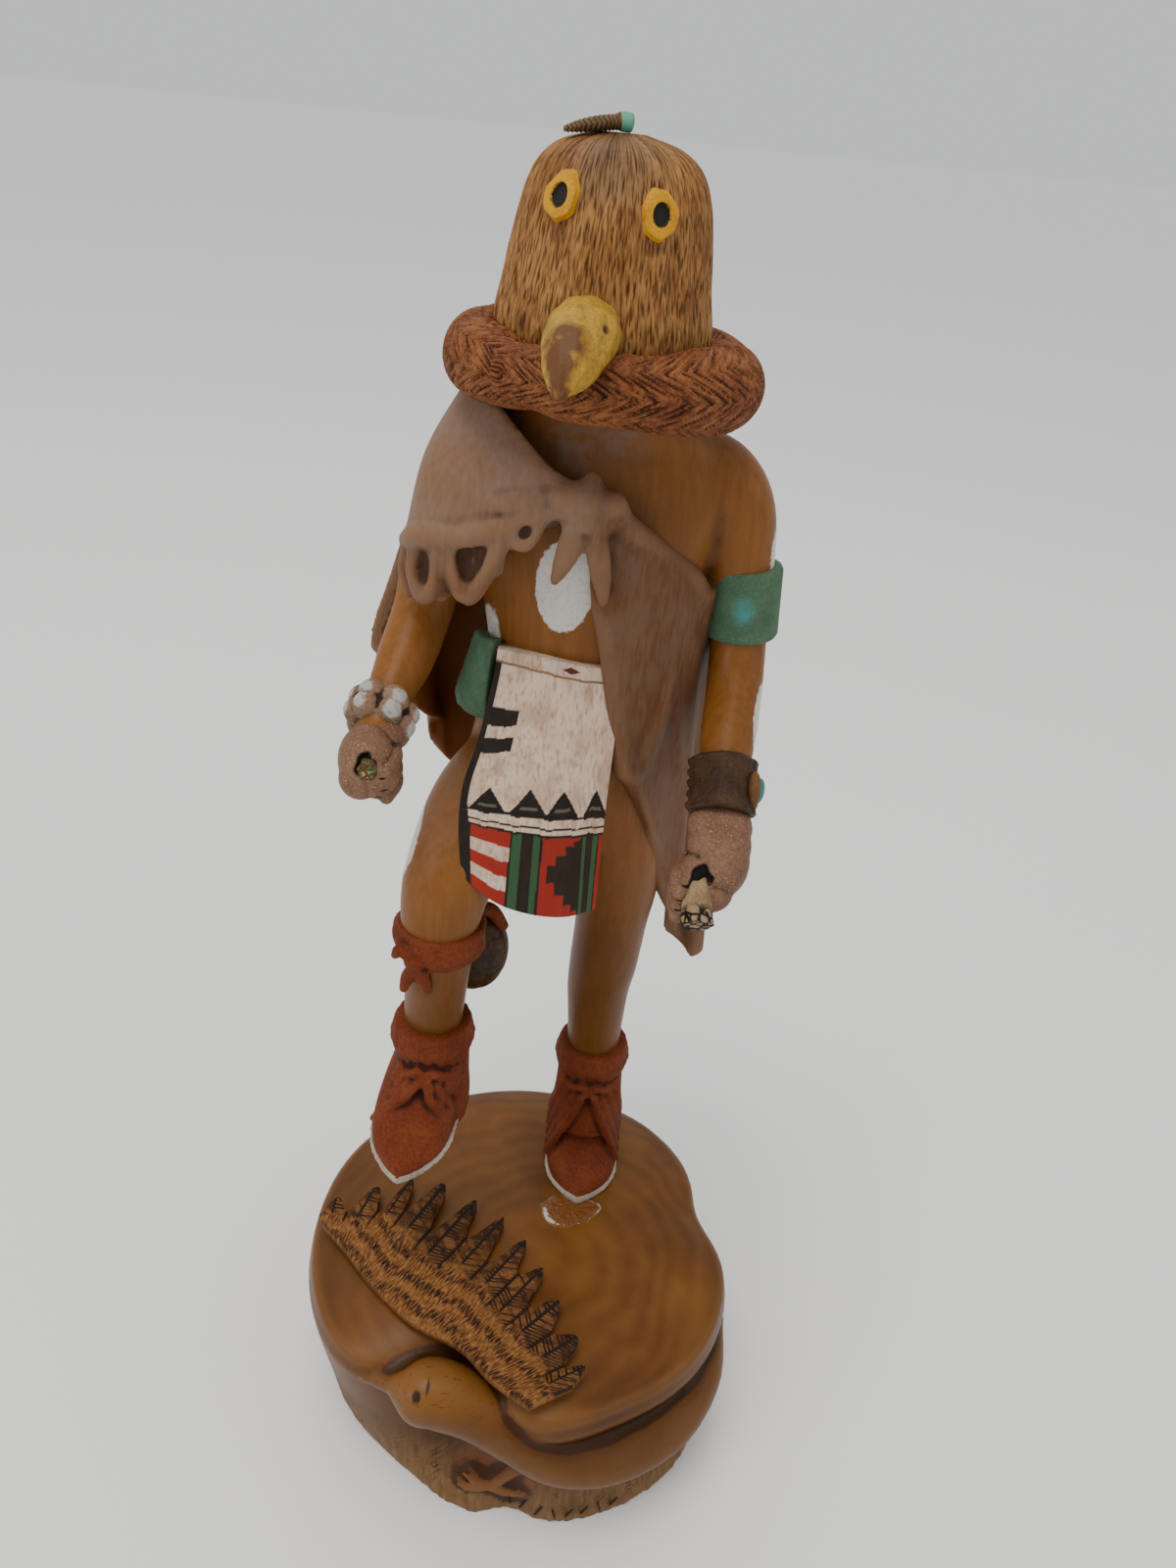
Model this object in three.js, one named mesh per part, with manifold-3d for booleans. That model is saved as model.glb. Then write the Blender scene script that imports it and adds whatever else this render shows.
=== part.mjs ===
// A carved and painted kachina doll: a masked dancer with one knee raised, on a round
// plinth that has a bird carved along its front rim. Millimetres, +Z up, -Y is the front.
import * as THREE from "three";
import { mergeVertices } from "three/addons/utils/BufferGeometryUtils.js";
import Module from "manifold-3d";

const wasm = await Module();
wasm.setup();

// ---------------------------------------------------------------- driving sizes
const GAP = 0.3; // clear space left between two pieces that touch
const DATUM = { x: 0.3, y: -1.6 }; // the carver's centre line, from the middle of the plinth
const ACROSS = new THREE.Vector3(1, 0, 0);
const UP = new THREE.Vector3(0, 0, 1);
const FULL_TURN = 2 * Math.PI;

const plinth = {
  foot: 64.5, // radius on the table
  rim: 71, // radius at the widest place
  rimHeight: 48,
  height: 61.5, // crown of the gently domed top
};

// ---------------------------------------------------------------- shaping helpers
const point = (x, y, z) => new THREE.Vector3(x, y, z);

// A hump of height 1 at the given bearing in degrees, fading over `spread` degrees.
function hump(turn, bearing, spread) {
  const off = THREE.MathUtils.radToDeg(turn) - bearing;
  const wrapped = THREE.MathUtils.euclideanModulo(off + 180, 360) - 180;
  return Math.exp(-((wrapped / spread) ** 2));
}

// A sphere whose vertices are put where place(turn, along) says: turn goes once round,
// along goes from 0 at one pole to 1 at the other.
function moulded(sides, rings, place) {
  const geometry = new THREE.SphereGeometry(1, sides, rings);
  const { position, uv } = geometry.attributes;
  for (let i = 0; i < position.count; i += 1) {
    const turn = (uv.getX(i) % 1) * FULL_TURN;
    const spot = place(turn, 1 - uv.getY(i));
    position.setXYZ(i, spot.x, spot.y, spot.z);
  }
  return geometry;
}

// An egg-shaped lump about a centre.
function lump([x, y, z], [wide, deep, high], sides = 8, rings = 5) {
  return moulded(sides, rings, (turn, along) => {
    const tilt = along * Math.PI;
    const girth = Math.sin(tilt);
    return point(
      x + wide * girth * Math.cos(turn),
      y + deep * girth * Math.sin(turn),
      z - high * Math.cos(tilt),
    );
  });
}

// A form with level cross-sections and flat ends. Each level is [x, y, z, wide, deep].
function stacked(levels, sides, rings) {
  const middle = new THREE.CatmullRomCurve3(levels.map(([x, y, z]) => point(x, y, z)));
  const girth = new THREE.CatmullRomCurve3(levels.map(([, , , wide, deep]) => point(wide, deep, 0)));
  return moulded(sides, rings + 2, (turn, along) => {
    const ring = Math.round(along * (rings + 2)) - 1;
    const step = THREE.MathUtils.clamp(ring / rings, 0, 1);
    const half = girth.getPoint(step).multiplyScalar(ring < 0 || ring > rings ? 0 : 1);
    const sway = point(half.x * Math.cos(turn), half.y * Math.sin(turn), 0);
    return middle.getPoint(step).add(sway);
  });
}

// A limb with its sections square to a smooth path. Each stop is [x, y, z, wide, deep], and
// deep is the same as wide when it is left out. Its ends are rounded over capRings rings, or
// flat when round is 0.
function limb(stops, options = {}) {
  const { sides = 9, rings = 7, round = 1, across = ACROSS } = options;
  const { capRings = round > 0 ? 2 : 1 } = options;
  const total = rings + 2 * capRings;
  const path = new THREE.CatmullRomCurve3(stops.map(([x, y, z]) => point(x, y, z)));
  const girth = new THREE.CatmullRomCurve3(
    stops.map(([, , , wide, deep = wide]) => point(wide, deep, 0)),
  );
  return moulded(sides, total, (turn, along) => {
    const ring = Math.round(along * total);
    const step = THREE.MathUtils.clamp((ring - capRings) / rings, 0, 1);
    const fromEnd = Math.min(ring, total - ring, capRings) / capRings;
    const lean = (fromEnd * Math.PI) / 2;
    const half = girth.getPoint(step);
    const heading = path.getTangent(step);
    const side = across.clone().addScaledVector(heading, -heading.dot(across)).normalize();
    const front = heading.clone().cross(side);
    const beyond = Math.cos(lean) * Math.min(half.x, half.y) * round * (step < 0.5 ? -1 : 1);
    return path
      .getPoint(step)
      .addScaledVector(heading, beyond)
      .addScaledVector(side, half.x * Math.sin(lean) * Math.cos(turn))
      .addScaledVector(front, half.y * Math.sin(lean) * Math.sin(turn));
  });
}

// Carved cloth: a skin hung from a row of falls, each a curve from its top to its hem.
// outer and inner are how far its two faces stand from the falls, and ripple adds folds.
function draped(falls, { across, down, outer, inner, ripple = () => 0 }) {
  const curves = falls.map((fall) => new THREE.CatmullRomCurve3(fall.map((p) => point(...p))));
  const spotAt = (u, v) => {
    const row = curves.map((curve) => curve.getPoint(THREE.MathUtils.clamp(v, 0, 1)));
    return new THREE.CatmullRomCurve3(row).getPoint(THREE.MathUtils.clamp(u, 0, 1));
  };
  const nudge = 0.02;
  const geometry = new THREE.BoxGeometry(1, 1, 1, across, 1, down);
  const { position } = geometry.attributes;
  for (let i = 0; i < position.count; i += 1) {
    const u = position.getX(i) + 0.5;
    const v = position.getZ(i) + 0.5;
    const over = spotAt(u + nudge, v).sub(spotAt(u - nudge, v));
    const fall = spotAt(u, v + nudge).sub(spotAt(u, v - nudge));
    const outward = fall.cross(over).normalize();
    const stand = position.getY(i) > 0 ? outer : -inner;
    const spot = spotAt(u, v).addScaledVector(outward, stand + ripple(u, v));
    position.setXYZ(i, spot.x, spot.y, spot.z);
  }
  return geometry;
}

// ---------------------------------------------------------------- joining and cutting
function signedVolume(vertices, corners) {
  const [a, b, c] = [point(), point(), point()];
  let volume = 0;
  for (let i = 0; i < corners.length; i += 3) {
    a.fromArray(vertices, corners[i] * 3);
    b.fromArray(vertices, corners[i + 1] * 3);
    c.fromArray(vertices, corners[i + 2] * 3);
    volume += a.dot(b.cross(c)) / 6;
  }
  return volume;
}

function solidOf(geometry) {
  const bare = geometry.clone();
  bare.deleteAttribute("normal");
  bare.deleteAttribute("uv");
  const merged = mergeVertices(bare);
  const vertProperties = new Float32Array(merged.attributes.position.array);
  const corners = new Uint32Array(merged.index.array);
  const triVerts = signedVolume(vertProperties, corners) < 0 ? corners.reverse() : corners;
  return new wasm.Manifold(new wasm.Mesh({ numProp: 3, vertProperties, triVerts }));
}

function joined(geometries) {
  return geometries.map(solidOf).reduce((whole, piece) => whole.add(piece));
}

function piece(name, solid, { color, roughness = 0.6 }) {
  const { numProp, vertProperties, triVerts } = solid.getMesh();
  const geometry = new THREE.BufferGeometry();
  geometry.setAttribute("position", new THREE.BufferAttribute(vertProperties, numProp));
  geometry.setIndex(new THREE.BufferAttribute(triVerts, 1));
  const finish = new THREE.MeshStandardMaterial({ color, roughness, metalness: 0 });
  const mesh = new THREE.Mesh(geometry, finish);
  mesh.name = name;
  return mesh;
}

// ---------------------------------------------------------------- plinth with its bird
function rimRadius(turn) {
  const wave = 2.2 * hump(turn, 150, 24) + 1.4 * hump(turn, 57, 14) - 6.5 * hump(turn, 17, 13);
  const lip = 5 * hump(turn, -62, 26);
  const nest = 22 * hump(turn, -107, 19); // the hollow that the bird's head lies in
  return plinth.rim + wave - lip - nest;
}

function footRadius(turn) {
  const swell = 6 * hump(turn, -32, 30);
  const waist = 6 * hump(turn, -125, 28);
  const notch = 5 * hump(turn, -86, 8);
  return plinth.foot + swell - waist - notch;
}

function plinthBody() {
  // each wall ring is [share of the radius, share of the rim's height, flare towards the rim]
  const wallRings = [[0.985, 0, 0], [1, 0.03, 0.02], [1, 0.36, 0.35], [1, 0.72, 0.75]];
  const topRings = [0.975, 0.91, 0.74, 0.45, 0];
  const rings = wallRings.length + 1 + topRings.length;
  return moulded(34, rings, (turn, along) => {
    const ring = Math.round(along * rings);
    const foot = footRadius(turn);
    const rim = rimRadius(turn);
    const undercut = 4 * hump(turn, -40, 42);
    const rimHeight = plinth.rimHeight - 3 * hump(turn, -20, 50);
    let radius = 0;
    let height = 0;
    if (ring > 0 && ring <= wallRings.length) {
      const [trim, rise, flare] = wallRings[ring - 1];
      radius = trim * (foot + (rim - undercut - foot) * flare);
      height = rise * rimHeight;
    } else if (ring === wallRings.length + 1) {
      radius = rim;
      height = rimHeight;
    } else if (ring > wallRings.length + 1) {
      const share = topRings[ring - wallRings.length - 2];
      const edge = rimHeight + 6 - 4 * hump(turn, -108, 20);
      radius = rim * share;
      height = plinth.height - (plinth.height - edge) * share ** 4;
    }
    return point(radius * Math.cos(turn), radius * Math.sin(turn), height);
  });
}

// The bird lies along the rim: beak and head at the front left, back and tail to the right.
function bird() {
  const back = [
    [-43, -50.5, 48, 0.8], [-37, -51.5, 49.4, 2.8], [-31, -53, 50.4, 5.4], [-22, -53.5, 51, 9.2],
    [-9, -54, 48, 9.8, 9.4], [4, -56, 43, 10.6, 9.4], [18, -58.8, 38.8, 11.2, 9.6],
    [34, -54.5, 37, 11.4, 9.8], [50, -43.5, 37, 11, 9.8], [61, -27, 38.5, 9.8, 8.6],
    [65, -10, 41, 6.5, 6],
  ];
  const head = lump([-23.5, -54.6, 50.4], [10.4, 9.6, 10], 10, 6);
  return [limb(back, { rings: 11, across: UP }), head];
}

// Each toe of the claw runs from the palm, low on the wall below the neck.
function claw() {
  const palm = [-2, -58.5, 14];
  const tips = [[-10, -59, 18.5], [-11, -59.2, 13.5], [7, -58.5, 12.5], [1, -57, 23]];
  return tips.map((tip) => limb([[...palm, 1.9], [...tip, 1.3]], { sides: 5, rings: 1, capRings: 1 }));
}

function plinthSolid() {
  return joined([plinthBody(), ...bird(), ...claw()]);
}

// ---------------------------------------------------------------- head
function mask() {
  const silhouette = [
    [0, 22, 328, 25, 24], [0, 22, 344.5, 25.4, 24.6], [0.2, 22, 353, 24, 23.4],
    [0.6, 22, 362, 22.6, 22.2], [1, 22, 371, 20.8, 20.6], [1, 22, 377, 17.8, 18],
    [0.7, 22, 380.8, 13, 13.2], [0.3, 22, 383, 6.5, 6.5],
  ];
  return stacked(silhouette, 18, 7);
}

// The rolled ruff goes once round and its two ends lie over each other at the front left.
// It is made as two lengths, because a solid may not run through itself.
function ruffLength(from, to, trim) {
  const start = -128;
  const sweep = 392;
  const turns = 7;
  const stops = Array.from({ length: turns + 1 }, (_, i) => {
    const share = from + ((to - from) * i) / turns;
    const bearing = THREE.MathUtils.degToRad(start + sweep * share);
    const reach = 29.8 - 2 * share;
    const thick = 9.1 * Math.min(1, 0.64 + 1.7 * Math.min(share, 1 - share)) - trim;
    return [
      0.6 + reach * Math.cos(bearing),
      20 + reach * Math.sin(bearing),
      336 - 0.8 * share - Math.cos(bearing),
      thick,
    ];
  });
  return limb(stops, { sides: 8, rings: 10, across: UP, round: 0.8 });
}

function ruff() {
  return [ruffLength(0, 0.5, 0), ruffLength(0.47, 1, 0.1)];
}

function beak(grow = 0) {
  const stops = [
    [-2.8, 0, 345.5, 7.2, 7], [-3.2, -7, 346, 7.8, 7.4], [-4, -13.5, 344.6, 7.2, 6.8],
    [-5, -19.5, 341.8, 5.6, 5.4], [-6, -24, 339.4, 3.2, 3], [-6.3, -26, 338.2, 1.4, 1.2],
  ];
  return limb(stops.map(([x, y, z, wide, deep]) => [x, y, z, wide + grow, deep + grow]), { rings: 6 });
}

function crownFeather(grow = 0) {
  const stops = [
    [-11.3, 16.5, 382.6, 0.8, 1.2], [-8, 16.8, 383.4, 1.4, 2.4], [-4, 17.2, 384.3, 1.7, 2.8],
    [-0.8, 17.6, 384.9, 1.6, 2.3], [0.6, 17.8, 385.1, 1.9, 2.3], [2.4, 18, 385, 1.9, 2.3],
  ];
  const grown = stops.map(([x, y, z, wide, deep]) => [x, y, z, wide + grow, deep + grow]);
  return limb(grown, { sides: 8, rings: 5, across: UP, round: 0.4 });
}

// ---------------------------------------------------------------- body and arms
function torso() {
  const levels = [
    [0, 30, 203, 27, 17], [0, 29.5, 222, 29, 19], [0, 28.5, 244, 26, 17.5],
    [0, 28, 262, 24, 16.5], [1.5, 28, 281, 29.5, 17.5], [2, 28, 299, 34, 18],
    [3, 28, 310, 35.5, 16.5], [3, 27, 318, 31, 14], [1, 23, 330, 17, 14],
  ];
  return stacked(levels, 14, 8);
}

const leftArmPath = [
  [20, 26, 314, 9], [31, 28, 311.5, 9.6], [38, 29, 302.5, 9.6], [41, 29, 288, 9.2],
  [43.5, 28.5, 270, 8.4], [43.4, 22, 256.5, 7.7], [42.4, 9, 247, 7.3], [41.6, -3, 238.5, 7.2],
  [41, -11, 231, 7],
];
const rightArmPath = [
  [-26, 27, 306, 9.6], [-34, 28, 295, 9], [-38.6, 27.5, 282, 8.6], [-41, 24, 269, 8],
  [-43.4, 14, 260, 7.5], [-45.6, 4, 254, 7], [-46.8, -6, 248.5, 6.8],
];

// A closed band worn on a limb, from one point of its path to another.
function worn(from, to, wide, deep = wide) {
  return limb([[...from, wide, deep], [...to, wide, deep]], { rings: 1, round: 0 });
}

function armband() {
  return worn([42.1, 29, 288.5], [43.4, 28.6, 270], 9.8);
}

function bowGuard() {
  return worn([42, 6, 245.5], [41.2, -7, 234.5], 8.8, 8.4);
}

function bracelet() {
  const stones = 8;
  const heading = point(-0.18, -0.86, -0.47).normalize();
  const side = ACROSS.clone().addScaledVector(heading, -heading.x).normalize();
  const front = heading.clone().cross(side);
  return Array.from({ length: stones }, (_, i) => {
    const bearing = (i / stones) * FULL_TURN;
    const spot = point(-46, 1.5, 252.3)
      .addScaledVector(side, 6 * Math.cos(bearing))
      .addScaledVector(front, 6 * Math.sin(bearing));
    return lump(spot.toArray(), [3.3, 3.3, 3.5], 5, 3);
  });
}

// A closed fist round a rod that points forward: four finger rolls behind each other, and
// the thumb laid across the top. outer is the side of the hand's back, 1 for right.
function fist([x, y, z], outer) {
  const fingers = 4;
  const length = 15;
  const rings = 2 * fingers;
  const rolls = moulded(9, rings + 2, (turn, along) => {
    const ring = Math.round(along * (rings + 2)) - 1;
    const step = THREE.MathUtils.clamp(ring / rings, 0, 1);
    const open = ring < 0 || ring > rings ? 0 : 1;
    const groove = ring % 2 === 0 ? 0.88 : 1;
    const taper = 1 - 0.16 * step ** 3;
    const wide = 7.8 * groove * taper * open;
    const high = 9.4 * groove * taper * open;
    const reach = length * (0.5 - step);
    return point(x + wide * Math.cos(turn), y + reach, z + high * Math.sin(turn) - 0.2 * reach);
  });
  const thumb = [
    [x + 5 * outer, y + 2, z + 5, 3], [x + 3 * outer, y - 6.4, z + 6, 2.6],
    [x - 3 * outer, y - 7.6, z + 4.5, 2],
  ];
  return [rolls, limb(thumb, { sides: 5, rings: 2, capRings: 1, across: UP })];
}

const rightFist = [-47.2, -13, 243.5];
const leftFist = [39.6, -15.5, 224.5];

function rightHandStub(grow = 0) {
  const [x, y, z] = rightFist;
  const stops = [[x - 0.5, y + 3, z, 2.3 + grow], [x + 0.8, y - 8.8, z + 1.2, 2.3 + grow]];
  return limb(stops, { sides: 8, rings: 2, round: 0 });
}

function leftHandStub(grow = 0) {
  const stops = [
    [37, -14, 225, 3 + grow], [36.8, -20, 220.5, 3 + grow], [37.8, -28.4, 213.5, 3.2 + grow],
  ];
  return limb(stops, { sides: 8, rings: 2, round: 0 });
}

// ---------------------------------------------------------------- legs and boots
const raisedLegPath = [
  [-11, 28, 224, 16.5], [-22, 13, 215, 14.8], [-28.5, 0, 202, 12.6], [-30.2, -3, 190, 11.6],
  [-30.6, -3, 173, 9.8], [-31.8, -1, 156, 8.8], [-32.4, 1, 138, 8.6], [-32.8, 3, 124, 9],
];
const standingLegPath = [
  [11, 30, 222, 17], [17, 31, 201, 15], [18.8, 32, 183, 12.8], [18.6, 33, 167, 12],
  [17.4, 34.4, 151, 10.8], [16.8, 35.4, 138, 10], [17.2, 36, 116, 9.4], [17.5, 37, 84, 9.6],
];

// A moccasin in its own frame: pointed toe at the origin, heel behind it, sole on z = 0.
function moccasin() {
  const stations = [
    [0, 0.6, 3], [3.5, 5.2, 5.5], [9, 10.2, 9], [16, 13, 13.5], [25, 13.3, 20], [35, 12, 25],
    [43, 10.2, 24], [47, 6.5, 20],
  ];
  const shape = new THREE.CatmullRomCurve3(stations.map(([back, wide, high]) => point(back, wide, high)));
  const rings = 6;
  return moulded(10, rings + 2, (turn, along) => {
    const ring = Math.round(along * (rings + 2)) - 1;
    const step = THREE.MathUtils.clamp(ring / rings, 0, 1);
    const open = ring < 0 || ring > rings ? 0 : 1;
    const { x: back, y: wide, z: high } = shape.getPoint(step);
    const rise = Math.max(Math.sin(turn), 0) ** 0.8;
    return point(open * wide * Math.cos(turn), back, open ? high * rise : high / 3);
  });
}

// The wrapped ankle of a boot, its rolled cuff and the bow tied in front.
function bootTop([x, y, z], lean) {
  const shaft = limb(
    [[x, y - 3 * lean, z - 33, 12.6, 13], [x, y - lean, z - 20, 11.8, 12.4], [x, y, z - 6, 11, 11.4]],
    { rings: 2, round: 0 },
  );
  const cuff = limb(
    [[x, y, z - 7, 11.4], [x, y, z - 4, 12.3], [x, y, z + 3, 12.2], [x, y, z + 6, 11]],
    { sides: 10, rings: 3, round: 0 },
  );
  const bow = [-1, 1].map((side) => limb(
    [[x, y - 12.6, z - 5, 1.9], [x + 6 * side, y - 12, z - 11, 1.6]],
    { sides: 5, rings: 1, capRings: 1 },
  ));
  return [shaft, cuff, ...bow];
}

function standingBoot() {
  const shoe = moccasin().rotateZ(-0.02).translate(17.2, 11, plinth.height - 2.2);
  return [shoe, ...bootTop([17.3, 36, 110], 0)];
}

function raisedBoot() {
  const toeDrop = 0.28;
  const shoe = moccasin().rotateX(toeDrop).rotateZ(-0.1).translate(-37.3, -30, 110.6);
  return [shoe, ...bootTop([-32.1, -0.5, 145.5], 0.8)];
}

// Below the raised knee: a knotted garter, and a shell rattle tied behind.
function garter() {
  const band = limb(
    [[-30.2, -3, 189, 12], [-30.3, -3, 185, 13.1], [-30.5, -3, 181, 12.9], [-30.6, -3, 178, 11]],
    { rings: 3, round: 0 },
  );
  const knot = lump([-35.5, -14.6, 182], [3.2, 2.6, 2.6], 6, 4);
  const tails = [-1, 1].map((side) => limb(
    [[-35.5, -14.4, 181, 1.6, 1.4], [-35.5 + 3 * side, -12.8, 172, 2.1, 1.4]],
    { sides: 5, rings: 1, capRings: 1 },
  ));
  const rattle = lump([-22.5, 13, 167], [10.5, 9, 14], 9, 6);
  return [band, knot, ...tails, rattle];
}

// ---------------------------------------------------------------- clothes
function kilt() {
  const falls = [
    [[-19.4, 14, 260], [-22.8, 7, 242], [-25.7, 1, 231], [-25.9, -3.5, 221], [-24.2, -8, 209]],
    [[-8, 11.5, 262], [-10, 6.8, 245], [-11.5, 2, 232], [-12, -3, 218], [-12.1, -8, 200]],
    [[2, 11, 262], [2, 8, 245], [2.2, 5, 232], [3, 1.5, 216], [3.6, -2.5, 194.5]],
    [[12.9, 13, 259], [12.8, 9.8, 242], [12.5, 8, 232], [12.3, 5, 217], [12.4, 2, 195.5]],
  ];
  return draped(falls, { across: 6, down: 5, outer: 1, inner: 11 });
}

// The broad end of the sash, folded over the right hip.
function sashEnd() {
  return limb(
    [[-23.4, 20, 265, 3.6, 4], [-24.8, 19, 256, 5.6, 5], [-25.2, 17, 246, 5, 4.5]],
    { sides: 8, rings: 3, round: 0.3 },
  );
}

// The cloak hangs from the bearer's left front, round the back, to the right arm.
function cloakBack() {
  const falls = [
    [[3, 5, 303], [5, 7, 284], [9, 8, 269], [12.5, 9, 256], [15.5, 9, 242], [18.6, 10, 231]],
    [[12, 8, 299], [17, 10, 281], [20.5, 12, 262], [23, 14, 244], [24, 16, 228], [25, 18, 211]],
    [[22, 13, 292], [28, 17, 274], [30.5, 21, 252], [32, 25, 230], [33, 28, 208], [34.5, 30, 185]],
    [[33, 21, 283], [33.5, 27, 263], [35, 31, 243], [37, 35, 220], [39.5, 38, 190], [42, 42, 154]],
    [[31, 36, 300], [34, 40, 275], [38, 43, 250], [41, 45, 222], [44, 46, 188], [46, 45, 152]],
    [[17, 42, 317], [19, 48, 285], [21, 52, 255], [24, 54, 228], [27, 54, 200], [31, 54, 172]],
    [[-4, 43, 321], [-4, 50, 288], [-4, 54, 260], [-3, 56, 235], [-2, 56, 212], [0, 55, 190]],
    [[-25, 40, 317], [-29, 47, 290], [-33, 51, 268], [-35, 51, 248], [-36, 50, 230], [-37, 48, 211]],
    [[-38, 32, 306], [-43, 37, 286], [-46, 40, 270], [-48, 41, 256], [-47, 42, 244], [-44, 43, 230]],
    [[-42, 22, 297], [-46, 24, 284], [-50, 26, 272], [-53, 28, 265], [-55.5, 29, 259], [-57.5, 30, 252]],
  ];
  const folds = (u, v) => 2 * v * Math.sin(u * FULL_TURN * 5.5);
  return draped(falls, { across: 22, down: 5, outer: 2.4, inner: 2.6, ripple: folds });
}

// The mantle is gathered into the knot at the breast and spreads over the right shoulder.
// Each fall is [top edge, shoulder, turned lip, hem of the pleated layer below the lip].
const mantleFalls = [
  [[-18, 41, 325], [-23, 44, 308], [-27, 47, 290], [-28, 48, 280]],
  [[-27, 36, 327], [-36, 37, 310], [-42, 38, 288], [-42, 38, 278]],
  [[-31, 29, 328], [-40, 27, 311], [-46, 25, 286], [-44, 25, 275]],
  [[-31, 21, 328.5], [-40, 16, 311], [-44.5, 12, 288], [-42, 13, 276]],
  [[-28, 15, 328.5], [-36, 8, 312], [-38.5, 3.5, 294], [-37, 8, 277.5]],
  [[-22, 10, 327], [-27, 3.5, 313], [-28, 1, 295], [-27.5, 4, 281]],
  [[-15, 6, 321], [-17.5, 2.6, 312.5], [-19, 1, 298.5], [-18, 3, 292]],
  [[-9, 4, 316], [-10, 2, 311], [-11, 1.4, 303.5], [-11, 3, 301]],
  [[-3, 4, 312], [-3, 3, 308.5], [-3, 3, 305], [-3, 3, 303]],
];

function mantle() {
  const layer = mantleFalls.map(([edge, shoulder, lip]) => [edge, shoulder, lip]);
  return draped(layer, { across: 14, down: 3, outer: 1.5, inner: 8 });
}

function pleats() {
  const layer = mantleFalls.map(([, shoulder, lip, hem]) => [shoulder, lip, hem]);
  const folds = (u, v) => 1.8 * v * Math.sin(u * FULL_TURN * 6);
  return draped(layer, { across: 24, down: 2, outer: -0.6, inner: 6, ripple: folds });
}

function knot() {
  const lumps = [lump([-3, 3, 306.8], [5, 5, 6.2]), lump([5, 4, 308], [3.8, 4.6, 5])];
  const tailStops = [
    [[-2, 1.5, 303, 2.4, 2], [-3.2, 1.2, 296, 3.1, 2], [-5.6, 2.6, 289, 1.6, 1.4]],
    [[2.8, 1.5, 303.5, 2.2, 2], [4.6, 2.2, 293, 2.9, 2], [6.3, 4, 284.5, 1.6, 1.4]],
  ];
  const tails = tailStops.map((stops) => limb(stops, { sides: 6, rings: 3, capRings: 1 }));
  return [...lumps, ...tails];
}

function figureSolid(plinthTop) {
  const clothes = [kilt(), sashEnd(), cloakBack(), mantle(), pleats(), ...knot()];
  const leftArm = limb(leftArmPath, { sides: 8, rings: 10 });
  const rightArm = limb(rightArmPath, { sides: 8, rings: 6 });
  const body = [torso(), leftArm, rightArm];
  const hands = [...fist(rightFist, -1), ...fist(leftFist, 1), ...bracelet(), armband(), bowGuard()];
  const legs = [limb(raisedLegPath, { rings: 10 }), limb(standingLegPath, { rings: 8 })];
  const boots = [...standingBoot(), ...raisedBoot(), ...garter()];
  const whole = joined([...body, mask(), ...ruff(), ...hands, ...legs, ...boots, ...clothes]);
  const pockets = joined([beak(GAP), crownFeather(GAP)]);
  const grips = joined([rightHandStub(GAP), leftHandStub(GAP)]);
  return whole.subtract(pockets).subtract(grips).subtract(plinthTop.translate([0, 0, GAP]));
}

// ---------------------------------------------------------------- the loose wing
// A carved wing, broken off at its shoulder. Eleven feathers fan out from its leading edge,
// each with a raised quill and a pointed tip. The plate lies on the domed top, so it leans a
// little towards the rim.
const wing = { low: 61.7, thick: 3.2, quill: 0.9, notch: 0.2, feathers: 11, lean: 0.03 };

function wingSolid() {
  const leading = new THREE.CatmullRomCurve3([
    point(-66, -8.5, 0), point(-56, -18, 0), point(-46, -28.5, 0), point(-31, -40.5, 0),
    point(-15, -47.5, 0), point(-4.5, -56.5, 0), point(7.5, -63.8, 0),
  ]);
  const tips = new THREE.CatmullRomCurve3([
    point(-69, -2.2, 0), point(-58, 3.6, 0), point(-45, 9.3, 0), point(-34.6, 12.5, 0),
    point(-22.4, 7, 0), point(-11.8, 1.6, 0), point(-2.8, -5.6, 0), point(4.5, -14.4, 0),
    point(10.5, -24.6, 0), point(17, -36, 0), point(22.7, -46.8, 0), point(23.2, -54.5, 0),
  ]);
  const perFeather = 4;
  const geometry = new THREE.BoxGeometry(1, 1, 1, wing.feathers * perFeather, 1, 1);
  const { position } = geometry.attributes;
  for (let i = 0; i < position.count; i += 1) {
    const u = position.getX(i) + 0.5;
    const v = position.getZ(i) + 0.5;
    const offQuill = Math.abs(Math.cos(u * wing.feathers * Math.PI)); // 0 on a quill
    const reach = v * (1 - wing.notch * offQuill ** 2);
    const spot = leading.getPoint(u).lerp(tips.getPoint(u), reach);
    const ridge = wing.quill * (1 - 2 * offQuill) * v;
    const settled = wing.low + wing.lean * (0.63 * (spot.x + 20) + 0.78 * (spot.y + 25));
    spot.z = settled + (position.getY(i) > 0 ? wing.thick + ridge : 0);
    position.setXYZ(i, spot.x, spot.y, spot.z);
  }
  return solidOf(geometry);
}

// ---------------------------------------------------------------- the whole carving
const plinthBlock = plinthSolid();
const carving = new THREE.Group();
carving.add(
  piece("base", plinthBlock, { color: 0x9a6430, roughness: 0.5 }),
  piece("figure", figureSolid(plinthBlock), { color: 0xa8703a, roughness: 0.6 }),
  piece("beak", solidOf(beak()), { color: 0xb39b3e, roughness: 0.5 }),
  piece("crown_feather", solidOf(crownFeather()), { color: 0x6f5a3c, roughness: 0.7 }),
  piece("right_hand_stub", solidOf(rightHandStub()), { color: 0x7f8f5a, roughness: 0.7 }),
  piece("left_hand_stub", solidOf(leftHandStub()), { color: 0xbda37c, roughness: 0.7 }),
  piece("loose_wing", wingSolid(), { color: 0xb07a45, roughness: 0.8 }),
);
carving.position.set(DATUM.x, DATUM.y, 0);

export default carving;
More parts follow.
